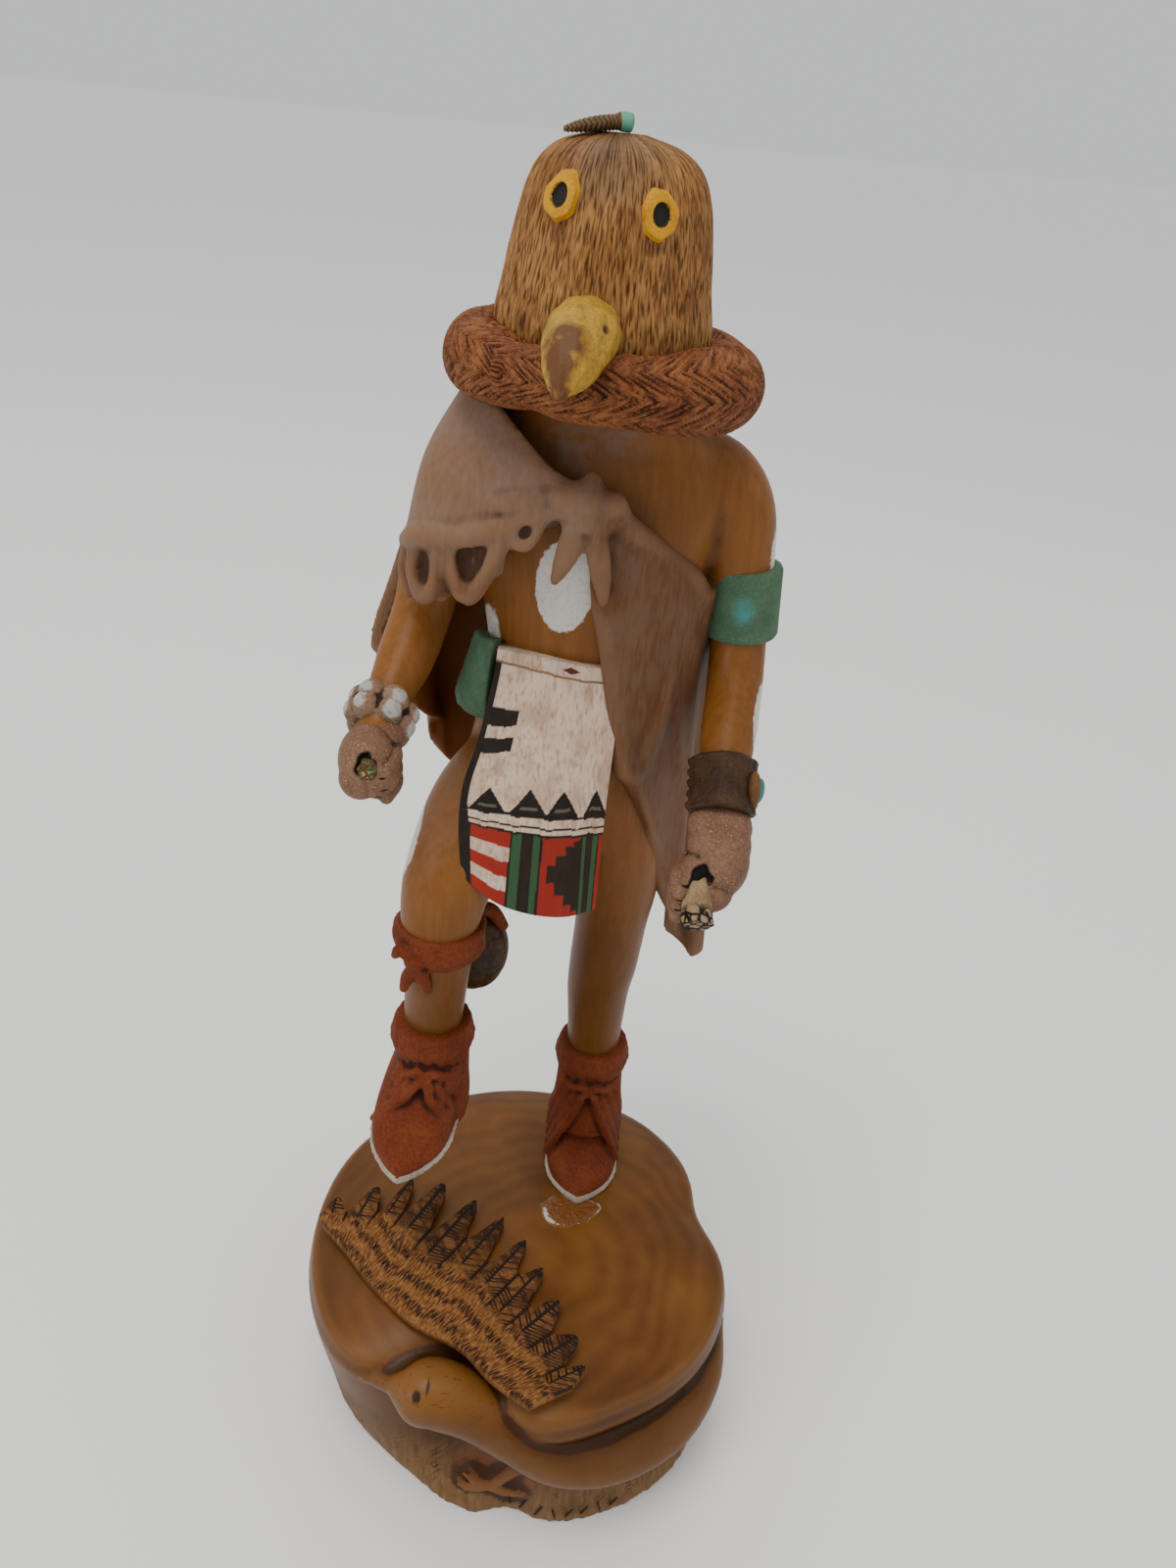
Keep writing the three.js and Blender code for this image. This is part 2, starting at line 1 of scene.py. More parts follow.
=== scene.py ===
# %% [markdown]
# # A carved and painted kachina doll
# The real doll is cut from cottonwood root with knife, gouge and rasp, stained, and painted with
# earth colours. Carved wood has no seams where arm meets shoulder or cloth meets skin, so the
# forms here are lofted one by one and then melted together, and the fine gouge cuts are moved
# into the mesh at the end. Lengths are in millimetres until the mesh is written in metres.

# %% The frame
import bmesh
import bpy
import math
import numpy as np
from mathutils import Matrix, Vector


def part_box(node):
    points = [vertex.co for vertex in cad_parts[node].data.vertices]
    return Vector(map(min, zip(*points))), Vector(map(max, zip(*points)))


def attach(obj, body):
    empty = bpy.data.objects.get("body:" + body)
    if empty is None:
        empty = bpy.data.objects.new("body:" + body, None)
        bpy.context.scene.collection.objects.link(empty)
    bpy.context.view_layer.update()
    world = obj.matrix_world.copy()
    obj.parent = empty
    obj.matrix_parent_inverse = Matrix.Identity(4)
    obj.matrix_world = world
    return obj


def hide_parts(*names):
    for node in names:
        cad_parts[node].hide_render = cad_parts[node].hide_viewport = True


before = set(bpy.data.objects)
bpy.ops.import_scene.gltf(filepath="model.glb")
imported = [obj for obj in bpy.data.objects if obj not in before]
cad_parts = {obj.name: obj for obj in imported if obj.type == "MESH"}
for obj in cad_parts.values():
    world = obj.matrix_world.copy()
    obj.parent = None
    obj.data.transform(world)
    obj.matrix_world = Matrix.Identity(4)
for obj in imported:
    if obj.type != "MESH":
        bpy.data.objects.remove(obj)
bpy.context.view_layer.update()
MM = 0.001
FULL_TURN = 2 * math.pi
DATUM = np.array([0.3, -1.6, 0.0])  # the carver's centre line, from the middle of the plinth
PLINTH_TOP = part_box("base")[1][2] / MM
MASK_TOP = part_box("figure")[1][2] / MM
print("plinth top", round(PLINTH_TOP, 1), "mm, mask top", round(MASK_TOP, 1), "mm")

# %% [markdown]
# ## Smooth paths
# A carver thinks of a limb as a run of sections along a line. A short list of stops is enough,
# because a smooth curve goes through them. Working on whole arrays keeps dense meshes quick.

# %% Curves through a few stops
ACROSS = np.array([1.0, 0.0, 0.0])
UP = np.array([0.0, 0.0, 1.0])


def cubic(a, b, c, d, f):
    """Catmull-Rom: the point a share f of the way from b to c."""
    curve = (2 * a - 5 * b + 4 * c - d) * f + (3 * b - a - 3 * c + d) * f**2
    return b + 0.5 * f * ((c - a) + curve)


def spans(count, share):
    """The stop before each share of a run of stops, and how far past it the share is."""
    run = np.clip(share, 0, 1) * (count - 1)
    before = np.minimum(run.astype(int), count - 2)
    return before, (run - before)[:, None]


def with_ends(stops):
    """The stops and one more beyond each end, so that the curve runs from the first to the last."""
    return np.concatenate([[2 * stops[0] - stops[1]], stops, [2 * stops[-1] - stops[-2]]])


def through(stops, share):
    """Points on the smooth curve through the stops, by shares from 0 to 1 along it."""
    stops = np.asarray(stops, float)
    before, past = spans(len(stops), share)
    ends = with_ends(stops)
    return cubic(*(ends[before + k] for k in range(4)), past)


def hung(falls, u, v):
    """A point on a cloth: v runs down each fall, and u runs across the falls."""
    rows = np.stack([through(fall, v) for fall in falls])
    before, past = spans(len(falls), u)
    ends = with_ends(rows)
    each = np.arange(len(u))
    return cubic(*(ends[before + k, each] for k in range(4)), past)


def hashed(a, b=0.0, c=0.0):
    """A number from 0 to 1 that looks random but is always the same for the same place."""
    return np.abs(np.sin(a * 127.1 + b * 311.7 + c * 74.7) * 43758.5453) % 1.0


def smooth_step(low, high, value):
    """An eased change from 0 at low to 1 at high, flat beyond them. High may lie below low."""
    f = np.clip((value - low) / (high - low), 0, 1)
    return f * f * (3 - 2 * f)


def hump(turn, bearing, spread):
    """A hump of height 1 at a bearing in degrees, fading over the spread."""
    off = (np.degrees(turn) - bearing + 180) % 360 - 180
    return np.exp(-((off / spread) ** 2))


# %% [markdown]
# ## Shaping operators
# Each form starts as Blender's own sphere or grid, and its vertices are then put where a formula
# says. That gives clean quads, closed ends and outward faces without any list of vertices.

# %% Moving a primitive's vertices
def spots_of(mesh):
    """The places of a mesh's vertices, one row each."""
    spots = np.empty(len(mesh.vertices) * 3)
    mesh.vertices.foreach_get("co", spots)
    return spots.reshape(-1, 3)


def normals_of(mesh):
    """The outward direction at each vertex."""
    normals = np.empty(len(mesh.vertices) * 3)
    mesh.vertices.foreach_get("normal", normals)
    return normals.reshape(-1, 3)


def put(mesh, spots):
    """Writes places in millimetres, on the carver's centre line, to a mesh in metres."""
    mesh.vertices.foreach_set("co", ((spots + DATUM) * MM).ravel())
    mesh.update()


def placed(mesh):
    """The places of a finished mesh's vertices, in millimetres on the carver's centre line."""
    return spots_of(mesh) / MM - DATUM


def mesh_from(bm, name):
    """Writes a form to a new mesh and lets the working copy go."""
    mesh = bpy.data.meshes.new(name)
    bm.to_mesh(mesh)
    bm.free()
    return mesh


def outward(mesh):
    """Turns every face of a closed form outward."""
    bm = bmesh.new()
    bm.from_mesh(mesh)
    bmesh.ops.recalc_face_normals(bm, faces=bm.faces[:])
    bm.to_mesh(mesh)
    bm.free()
    return mesh


def moulded(around, along, shape):
    """A closed form: shape(turn, run) gets the angle round it and the share along it."""
    bm = bmesh.new()
    bmesh.ops.create_uvsphere(bm, u_segments=around, v_segments=along, radius=1)
    mesh = mesh_from(bm, "form")
    unit = spots_of(mesh)
    turn = np.arctan2(unit[:, 1], unit[:, 0]) % FULL_TURN
    run = np.arccos(np.clip(-unit[:, 2], -1, 1)) / math.pi
    put(mesh, shape(turn, run))
    return outward(mesh)


def on_ball(turn, run):
    """Points on a ball of radius 1."""
    girth = np.sin(run * math.pi)
    return np.stack([girth * np.cos(turn), girth * np.sin(turn), -np.cos(run * math.pi)], 1)


def lump(centre, halves, around=24, along=14):
    """An egg-shaped form."""
    def shape(turn, run):
        return np.asarray(centre) + on_ball(turn, run) * np.asarray(halves)
    return moulded(around, along, shape)


def sections(stops):
    """Fills in the depth of each section where a stop gives only its width."""
    return [tuple(stop) if len(stop) == 5 else (*stop, stop[3]) for stop in stops]


def limb(stops, around=28, along=40, cap=0.14, round_end=1.0, across=ACROSS, grow=None):
    """Sections square to a path. Each stop is (x, y, z, half width[, half depth])."""
    stops = sections(stops)

    def shape(turn, run):
        step = np.clip((run - cap) / (1 - 2 * cap), 0, 1)
        at = through(stops, step)
        ahead = through(stops, np.minimum(step + 0.01, 1))[:, :3]
        behind = through(stops, np.maximum(step - 0.01, 0))[:, :3]
        heading = ahead - behind
        heading /= np.linalg.norm(heading, axis=1)[:, None]
        side = across - heading * (heading @ across)[:, None]
        side /= np.linalg.norm(side, axis=1)[:, None]
        front = np.cross(heading, side)
        lean = np.minimum(np.minimum(run, 1 - run), cap) / cap * math.pi / 2
        beyond = np.cos(lean) * np.minimum(at[:, 3], at[:, 4]) * round_end
        beyond *= np.where(step < 0.5, -1, 1)
        more = grow(turn, step) if grow else 0
        wide = (at[:, 3] + more) * np.sin(lean) * np.cos(turn)
        deep = (at[:, 4] + more) * np.sin(lean) * np.sin(turn)
        return (at[:, :3] + heading * beyond[:, None]
                + side * wide[:, None] + front * deep[:, None])
    return moulded(around, along, shape)


def band(stops, around=48, along=24, **more):
    """A limb with flat ends."""
    return limb(stops, around, along, cap=1.5 / along, round_end=0, **more)


def flat_ended(run, along):
    """The share along a form with flat ends, and 0 at the middle of each end but 1 elsewhere."""
    step = np.clip((run * along - 1) / (along - 2), 0, 1)
    return step, np.where((run * along < 0.5) | (run * along > along - 0.5), 0, 1)


def stacked(levels, around, along):
    """Level sections, one above the other, with flat ends."""
    def shape(turn, run):
        step, spread = flat_ended(run, along)
        at = through(levels, step)
        at[:, 0] += at[:, 3] * np.cos(turn) * spread
        at[:, 1] += at[:, 4] * np.sin(turn) * spread
        return at[:, :3]
    return moulded(around, along, shape)


def sheet(name, across, down):
    """A flat grid one wide and one high, and the places of its vertices."""
    bm = bmesh.new()
    bmesh.ops.create_grid(bm, x_segments=across, y_segments=down, size=0.5)
    mesh = mesh_from(bm, name)
    return mesh, spots_of(mesh)


def cloth(falls, across, down, thick, ripple=None):
    """Carved cloth: a grid hung on the falls, made thick towards the body."""
    mesh, flat = sheet("cloth", across, down)
    u, v = flat[:, 0] + 0.5, 0.5 - flat[:, 1]
    spots = hung(falls, u, v)
    if ripple:
        nudge = 0.01
        over = hung(falls, u + nudge, v) - hung(falls, u - nudge, v)
        fall = hung(falls, u, v + nudge) - hung(falls, u, v - nudge)
        out = np.cross(fall, over)
        spots += out / np.linalg.norm(out, axis=1)[:, None] * ripple(u, v)[:, None]
    put(mesh, spots)
    if thick:
        bm = bmesh.new()
        bm.from_mesh(mesh)
        bmesh.ops.solidify(bm, geom=bm.faces[:], thickness=thick * MM)
        bm.to_mesh(mesh)
        bm.free()
        outward(mesh)
    return mesh


def walls_from_rim(bm):
    """Draws walls from the open rim of a sheet, and hands back their far corners to be moved."""
    rim = [edge for edge in bm.edges if edge.is_boundary]
    walls = bmesh.ops.extrude_edge_only(bm, edges=rim)["geom"]
    return [part for part in walls if isinstance(part, bmesh.types.BMVert)]


def close_under(bm, mesh):
    """Fills the opening between the walls and writes the closed plate to the mesh."""
    bmesh.ops.holes_fill(bm, edges=[edge for edge in bm.edges if edge.is_boundary], sides=0)
    bmesh.ops.recalc_face_normals(bm, faces=bm.faces[:])
    bm.to_mesh(mesh)
    bm.free()


# %% [markdown]
# ## Melting forms into one carving
# Booleans leave hard seams, and a carver's gouge doesn't. A voxel remesh turns overlapping forms
# into one skin, and a few rounds of smoothing round every inner corner as sanding does. The
# remesh must be finer than the smallest form, so each region is melted at its own size.

# %% Melting and finishing
def shown(name, mesh):
    """Puts a mesh into the scene as a piece."""
    piece = bpy.data.objects.new(name, mesh)
    bpy.context.scene.collection.objects.link(piece)
    return piece


def finish_piece(piece, material, node):
    """Gives a piece its finish, a smooth skin and its body, and hides the solid it stands for."""
    piece.data.materials.clear()
    piece.data.materials.append(material)
    piece.data.polygons.foreach_set("use_smooth", [True] * len(piece.data.polygons))
    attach(piece, "root")
    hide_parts(node)
    print(piece.name, len(piece.data.polygons), "faces")
    return piece


def joined(meshes):
    """Several forms in one mesh, not yet melted together."""
    bm = bmesh.new()
    for mesh in meshes:
        bm.from_mesh(mesh)
        bpy.data.meshes.remove(mesh)
    return mesh_from(bm, "joined")


SANDING = 0.5  # how far one round of smoothing moves a vertex towards its neighbours


def melted(name, meshes, voxel, rounds):
    """One skin over forms that overlap, on a voxel grid in millimetres, then sanded."""
    piece = shown(name, joined(meshes))
    remesh = piece.modifiers.new("Melt", "REMESH")
    remesh.mode = "VOXEL"
    remesh.voxel_size = voxel * MM
    sand = piece.modifiers.new("Sand", "SMOOTH")
    sand.factor = SANDING
    sand.iterations = rounds
    ready = piece.evaluated_get(bpy.context.evaluated_depsgraph_get())
    piece.data = bpy.data.meshes.new_from_object(ready)
    piece.modifiers.clear()
    return piece


# %% [markdown]
# ## Stain in hollows, with painted shade and highlight
# Stain pools where a surface is hollow and rubs off where it stands proud, and the finishes paint
# shade into the hollows and a highlight onto the ridges as well. Blender can tell the two apart at
# render time, but an exported model can't, so the bend of the surface is measured here once and
# kept as a number on each vertex.

# %% Numbers kept on the vertices
def keep(piece, name, values):
    """Keeps a number on each vertex, for the finish to read."""
    layer = piece.data.attributes.get(name) or piece.data.attributes.new(name, "FLOAT", "POINT")
    layer.data.foreach_set("value", np.asarray(values, np.float32))


def keep_all(piece, marks):
    """Keeps every named set of numbers."""
    for name, values in marks.items():
        keep(piece, name, values)


def neighbour_mean(mesh):
    """A function that averages any per-vertex values over each vertex's neighbours."""
    ends = np.empty(len(mesh.edges) * 2, np.int32)
    mesh.edges.foreach_get("vertices", ends)
    a, b = ends.reshape(-1, 2).T
    count = len(mesh.vertices)
    share = 1 / np.maximum(np.bincount(ends, minlength=count), 1)

    def mean(values):
        columns = np.atleast_2d(values.T)
        sums = [np.bincount(a, c[b], count) + np.bincount(b, c[a], count) for c in columns]
        return (np.stack(sums, 1) * share[:, None]).reshape(values.shape)
    return mean


def keep_hollows(piece, spread=3, share=1.0):
    """Positive where the surface is hollow, negative on ridges and edges. A coarse mesh bends
    more at each step, so it takes a smaller share."""
    mesh = piece.data
    mean = neighbour_mean(mesh)
    spots = spots_of(mesh)
    drift = mean(spots) - spots
    step = np.linalg.norm(spots[mesh.edges[0].vertices[0]] - spots[mesh.edges[0].vertices[1]])
    bend = share * (drift * normals_of(mesh)).sum(1) / max(step, 1e-6)
    for _ in range(spread):
        bend = mean(bend)
    keep(piece, "hollow", bend)


# %% [markdown]
# ## Camera, floor and light
# The doll was looked at from close by and above, so its head looms and its plinth falls away.
# A wide lens a hand's length from the mask gives the same view. Soft daylight comes from above.

# %% The camera
CAMERA_PLACE = np.array([7.0, -262.0, 386.0])
PITCH = math.radians(30)
ROLL = math.radians(5.6)
SENSOR = 36.0
LENS = 26.55


def aim_camera():
    camera = bpy.data.objects.new("Camera", bpy.data.cameras.new("Camera"))
    bpy.context.scene.collection.objects.link(camera)
    forward = Vector((0, math.cos(PITCH), -math.sin(PITCH)))
    level = Vector((1, 0, 0))
    above = level.cross(forward)
    right = level * math.cos(ROLL) + above * math.sin(ROLL)
    top = above * math.cos(ROLL) - level * math.sin(ROLL)
    for row in range(3):
        camera.matrix_world[row][0] = right[row]
        camera.matrix_world[row][1] = top[row]
        camera.matrix_world[row][2] = -forward[row]
        camera.matrix_world[row][3] = (CAMERA_PLACE[row] + DATUM[row]) * MM
    camera.data.sensor_width = SENSOR
    camera.data.lens = LENS
    camera.data.clip_start = 0.01
    bpy.context.scene.camera = camera


aim_camera()

# %% [markdown]
# ## Materials from nodes
# One function adds a node, sets its values and makes its links, and small ones name what is done
# again and again. Colours are written as they look on a screen, and one function turns them into
# the linear values that the shader adds up.

# %% Small tools for materials


def paint(code):
    """An sRGB colour such as "a06030" as linear red, green, blue and alpha."""
    parts = [int(code[i:i + 2], 16) / 255 for i in (0, 2, 4)]
    return (*(p / 12.92 if p <= 0.04045 else ((p + 0.055) / 1.055) ** 2.4 for p in parts), 1)


def give(tree, socket, value):
    """Gives a socket a constant, or links another node's output to it."""
    if isinstance(value, bpy.types.NodeSocket):
        tree.links.new(value, socket)
    else:
        socket.default_value = value


def add(tree, kind, values, **settings):
    """A node of a kind. A value is a constant, or another node's output, which is linked."""
    made = tree.nodes.new("ShaderNode" + kind)
    for name, setting in settings.items():
        setattr(made, name, setting)
    for socket, value in values.items():
        give(tree, made.inputs[socket], value)
    return made


def material_named(name):
    """A new material: its node tree, its shader and a socket with the place in millimetres."""
    material = bpy.data.materials.new(name)
    material.use_nodes = True
    tree = material.node_tree
    place = add(tree, "TexCoord", {}).outputs["Object"]
    scaled = add(tree, "VectorMath", {0: place, 1: (1 / MM, 1 / MM, 1 / MM)}, operation="MULTIPLY")
    return material, tree, tree.nodes["Principled BSDF"], scaled.outputs[0]


def noise(tree, place, size, detail=3.0, stretch=(1, 1, 1)):
    """Noise whose blotches are about size millimetres across, longer along a stretched axis."""
    scale = tuple(1 / (size * s) for s in stretch)
    fitted = add(tree, "VectorMath", {0: place, 1: scale}, operation="MULTIPLY").outputs[0]
    return add(tree, "TexNoise", {"Vector": fitted, "Scale": 1.0, "Detail": detail}).outputs["Fac"]


def summed(tree, a, b):
    return add(tree, "Math", {0: a, 1: b}, operation="ADD").outputs[0]


def times(tree, a, b):
    return add(tree, "Math", {0: a, 1: b}, operation="MULTIPLY").outputs[0]


def between(tree, value, low, high, to_low=0.0, to_high=1.0):
    """A value from low to high as a share, or as a number from to_low to to_high."""
    values = {"Value": value, 1: low, 2: high, 3: to_low, 4: to_high}
    return add(tree, "MapRange", values, clamp=True).outputs[0]


def blend(tree, share, under, over):
    """One colour laid over another by a share."""
    values = {0: share, 6: under, 7: over}
    return add(tree, "Mix", values, data_type="RGBA").outputs[2]


def kept(tree, name):
    """The numbers that a piece keeps under a name."""
    return add(tree, "Attribute", {}, attribute_name=name).outputs["Fac"]


def scored(tree, wide, long):
    """Fine cut lines, from 0 to 1, in the kept places across and along the cuts."""
    across, along = kept(tree, "across"), kept(tree, "along")
    wide_steps = times(tree, across, 1 / wide)
    long_steps = times(tree, along, 1 / long)
    spot = add(tree, "CombineXYZ", {0: wide_steps, 1: long_steps}).outputs[0]
    lines = add(tree, "TexNoise", {"Vector": spot, "Scale": 1.0, "Detail": 1.0}).outputs["Fac"]
    return between(tree, lines, 0.54, 0.66)


def dent(tree, shader, height, depth):
    """Fine relief: height from 0 to 1 becomes a bump of that depth in millimetres."""
    bump = add(tree, "Bump", {"Height": height, "Distance": depth * MM})
    tree.links.new(bump.outputs[0], shader.inputs["Normal"])


FLOOR_HALF = 30  # metres, so that its edge is never seen
ROOM_LIGHT = 1.22


def floor_and_light():
    bm = bmesh.new()
    bmesh.ops.create_grid(bm, x_segments=2, y_segments=2, size=FLOOR_HALF)
    floor = shown("floor", mesh_from(bm, "floor"))
    material, _, shader, _ = material_named("pale matt table top")
    shader.inputs["Base Color"].default_value = paint("eeeeed")
    shader.inputs["Roughness"].default_value = 0.6
    floor.data.materials.append(material)
    world = bpy.data.worlds.new("Soft room light")
    bpy.context.scene.world = world
    world.use_nodes = True
    world.node_tree.nodes["Background"].inputs[0].default_value = paint("c9cacb")
    world.node_tree.nodes["Background"].inputs[1].default_value = ROOM_LIGHT
    # the name, the place and the width in metres, the power in watts, and the tint
    lamps = [
        ("overhead", (-0.35, -0.5, 2.2), 1.1, 23.0, "fff8ee"),
        ("window", (-1.8, -1.3, 1.1), 1.0, 11.5, "f4f7ff"),
        ("return", (1.6, -0.5, 0.9), 1.0, 3.0, "ffffff"),
    ]
    for name, spot, size, power, tint in lamps:
        lamp = bpy.data.lights.new(name, "AREA")
        lamp.shape = "DISK"
        lamp.size = size
        lamp.energy = power
        lamp.color = paint(tint)[:3]
        holder = bpy.data.objects.new(name, lamp)
        holder.location = spot
        aim = Vector((0, 0, 0.2)) - holder.location
        holder.rotation_euler = aim.to_track_quat("-Z", "Y").to_euler()
        bpy.context.scene.collection.objects.link(holder)
    sky = bpy.data.lights.new("bright ceiling", "SUN")
    sky.angle = math.radians(50)
    sky.energy = 0.5
    holder = bpy.data.objects.new("bright ceiling", sky)
    holder.rotation_euler = (math.radians(-24), math.radians(-14), 0)
    bpy.context.scene.collection.objects.link(holder)


floor_and_light()

# %% [markdown]
# ## Stained and painted cottonwood
# Cottonwood root is soft and even, with a silky short grain. An oil stain makes it golden brown,
# darker in hollows and lighter where hands have rubbed it, and shade is painted into the hollows and
# a highlight onto the ridges as well. It shines a little, like a saddle.
# Paint on it is matt and thin, so the same wood shows through at the edges of each patch.

# %% Stained wood
WOOD_IOR = 1.27
RAGGED = 0.25  # how far a painted edge wavers, in the units of the kept distance


def wood_surface(tree, shader, colour, roughness, height, depth):
    """Colour, gloss and fine relief of a wooden surface. The relief's depth is in millimetres."""
    give(tree, shader.inputs["Base Color"], colour)
    give(tree, shader.inputs["Roughness"], roughness)
    shader.inputs["IOR"].default_value = WOOD_IOR
    dent(tree, shader, height, depth)


def wood_colour(tree, place, shade, middle, light):
    """Stain in three tones: broad clouds and fine grain along the figure. Hollows get pooled stain
    and painted shade, and ridges get wear and a painted highlight.
    """
    clouds = noise(tree, place, 26, 4)
    grain = noise(tree, place, 1.6, 4, (1, 1, 9))
    both = summed(tree, clouds, grain)
    base = blend(tree, between(tree, both, 0.6, 1.4), middle, light)
    # pooled stain and painted shade in hollows, wear and a painted highlight on ridges
    pooled_and_shaded = between(tree, kept(tree, "hollow"), 0.004, 0.07)
    rubbed_and_lit = between(tree, kept(tree, "hollow"), -0.1, -0.02, 0.45, 0)
    base = blend(tree, rubbed_and_lit, base, light)
    return blend(tree, pooled_and_shaded, base, shade)


def stained_wood(name, shade, middle, light, roughness=0.42):
    material, tree, shader, place = material_named(name)
    colour = wood_colour(tree, place, paint(shade), paint(middle), paint(light))
    wood_surface(tree, shader, colour, roughness, noise(tree, place, 0.7, 4, (1, 1, 8)), 0.08)
    return material, tree, shader, place, colour


def patched(tree, shader, place, colour, name, tint):
    """Paint laid over the wood where the kept distance is inside the patch's edge."""
    waver = between(tree, noise(tree, place, 1.6, 2), 0.3, 0.7, -RAGGED, RAGGED)
    edge = summed(tree, kept(tree, name), waver)
    thin = between(tree, noise(tree, place, 0.9, 4), 0.34, 0.5, 0.8, 1)
    cover = times(tree, between(tree, edge, -0.1, 0.25), thin)
    laid = blend(tree, cover, colour, paint(tint))
    tree.links.new(laid, shader.inputs["Base Color"])
    return laid


def painted_wood(name, shade, middle, light, roughness=0.75, speck=0.5, depth=0.1):
    """Matt earth paint, thin and streaky, with brush grain as fine relief. Shade is painted into
    the hollows.
    """
    material, tree, shader, place = material_named(name)
    clouds = noise(tree, place, 7, 4)
    specks = noise(tree, place, speck, 3)
    both = summed(tree, clouds, specks)
    base = blend(tree, between(tree, both, 0.8, 1.25), paint(middle), paint(light))
    # painted shade in the hollows
    pooled_and_shaded = between(tree, kept(tree, "hollow"), 0.004, 0.07)
    colour = blend(tree, pooled_and_shaded, base, paint(shade))
    wood_surface(tree, shader, colour, roughness, specks, depth)
    return material, tree, shader, place, colour


# %% [markdown]
# ## The body
# Torso, arms and legs are one billet on the real doll. They are lofted with oval sections and
# melted together, so the armpit, the elbow and the raised hip get the soft inner corners that a
# knife and sandpaper leave. The skin is stained golden brown, with a few patches of white paint.

# %% The dancer's body
LEFT_ARM = [
    (16, 26, 314, 8), (30, 28, 312, 9.4), (37.6, 29, 303, 9.8), (40.6, 29, 288, 9.2),
    (43, 28.5, 271, 7.8), (43.6, 22, 257, 7.6), (42.4, 9, 247, 7.4), (41.8, 0, 240.5, 6.2),
    (41.6, -5, 236, 5.4),
]
RIGHT_ARM = [
    (-24, 27, 306, 9), (-34, 28, 295, 9), (-38.6, 27.5, 282, 8.6), (-41, 24, 269, 8),
    (-43.4, 14, 260, 7.6), (-45.6, 4, 254, 6.2), (-46.8, -6, 248.5, 5.4),
]
RAISED_LEG = [
    (-11, 28, 224, 16.5), (-21.5, 14, 216, 15.2), (-28, 1, 203, 13), (-30.2, -3, 191, 11.4),
    (-30.6, -3, 174, 9.6), (-31.8, -1, 156, 8.9), (-32.4, 1, 138, 8.4), (-32.8, 3, 124, 8.6),
]
STANDING_LEG = [
    (11, 30, 222, 17), (17, 31, 201, 15), (18.8, 32, 183, 12.6), (18.4, 33, 169, 11.4),
    (17.6, 34.4, 151, 11), (16.8, 35.4, 138, 10.2), (17.2, 36, 116, 9), (17.5, 37, 84, 9),
]
TORSO = [
    (0, 30, 203, 26.5, 16.5), (0, 29.5, 222, 28.5, 18.5), (0, 28.5, 244, 25.5, 17.5),
    (0, 28, 262, 23.8, 16.5), (1.5, 28, 281, 29, 17.5), (2, 28, 299, 33.5, 18.5),
    (3, 28, 310, 34.5, 16.5), (3, 27, 318, 30, 14), (1, 23, 330, 17, 14),
]


# Patches of paint, each an oval with its centre and its half sizes.
WHITE_PATCHES = [
    ((-3.6, 11, 284), (7.4, 12, 12.4)), ((-22.5, 24, 264), (3.2, 14, 10)),
    ((-41.6, 6, 213), (5, 14, 14)), ((51.2, 27, 294), (3.8, 9, 10)), ((52, 12, 251), (3.8, 14, 12)),
]
BIB = [((-5, 8, 319), (9, 14, 6.4)), ((4, 8, 321), (9, 14, 5.6))]
RED_PATCH = [((50, 22, 288), (2.4, 4, 2.6))]


def fading(spots, centre, halves, steep=1):
    """1 at a centre, about a third at the half sizes and 0 beyond. A steep one falls later."""
    return np.exp(-(((spots - centre) / halves) ** 2).sum(1) ** steep)


def patch_ovals(spots, ovals):
    """How far inside the nearest oval each spot is, in millimetres. Outside is below nought."""
    best = np.full(len(spots), -50.0)
    for (x, y, z), (wide, deep, high) in ovals:
        off = (spots - (x, y, z)) / (wide, deep, high)
        reach = np.linalg.norm(off, axis=1)
        best = np.maximum(best, (1 - reach) * min(wide, high))
    return best


def body():
    parts = [stacked(TORSO, 64, 80), limb(LEFT_ARM, 40, 80), limb(RIGHT_ARM, 40, 60)]
    parts += [limb(RAISED_LEG, 44, 80), limb(STANDING_LEG, 44, 80)]
    piece = melted("body", parts, 1.4, 7)
    spots = placed(piece.data)
    keep_hollows(piece, 2, 0.7)
    keep(piece, "white", patch_ovals(spots, WHITE_PATCHES))
    keep(piece, "bib", patch_ovals(spots, BIB))
    # painted shade: the legs darken towards the floor, and the chest darkens under the ruff
    shade_under_ruff = fading(spots, (14, 8, 298), (22, 12, 17))
    keep(piece, "shade_below_and_under_ruff", np.maximum(smooth_step(222, 150, spots[:, 2]), 0.8 * shade_under_ruff))
    keep(piece, "red", patch_ovals(spots, RED_PATCH))
    keep(piece, "haze", fading(spots, (-31, 0, 229), (12, 17, 19)))
    material, tree, shader, place, colour = stained_wood(
        "stained cottonwood, golden", "43210a", "6a4015", "875526", 0.4)
    drift = times(tree, kept(tree, "haze"), noise(tree, place, 7, 4))
    skin_tone = blend(tree, between(tree, drift, 0.12, 0.45, 0, 0.55), colour, paint("7d5d45"))
    # the painted shade laid over the stain
    shade_share = between(tree, kept(tree, "shade_below_and_under_ruff"), 0, 1, 0, 0.6)
    skin_tone = blend(tree, shade_share, skin_tone, paint("452606"))
    soft = times(tree, between(tree, kept(tree, "bib"), -2, 3.5),
                 between(tree, noise(tree, place, 2.4, 4), 0.3, 0.55))
    bibbed = blend(tree, between(tree, soft, 0, 1, 0, 0.8), skin_tone, paint("745a4b"))
    whited = patched(tree, shader, place, bibbed, "white", "c9c3ba")
    patched(tree, shader, place, whited, "red", "8a1c12")
    return finish_piece(piece, material, "figure")


body()

# %% [markdown]
# ## The mask
# The mask is a bell cut all over with short upright strokes of a veiner, a narrow V gouge, and
# rubbed with stain that stays in the cuts. The strokes are wide enough to cast a shadow, so they
# are mesh and not bump. They stand in columns, and each one is nudged by a hash of its place.

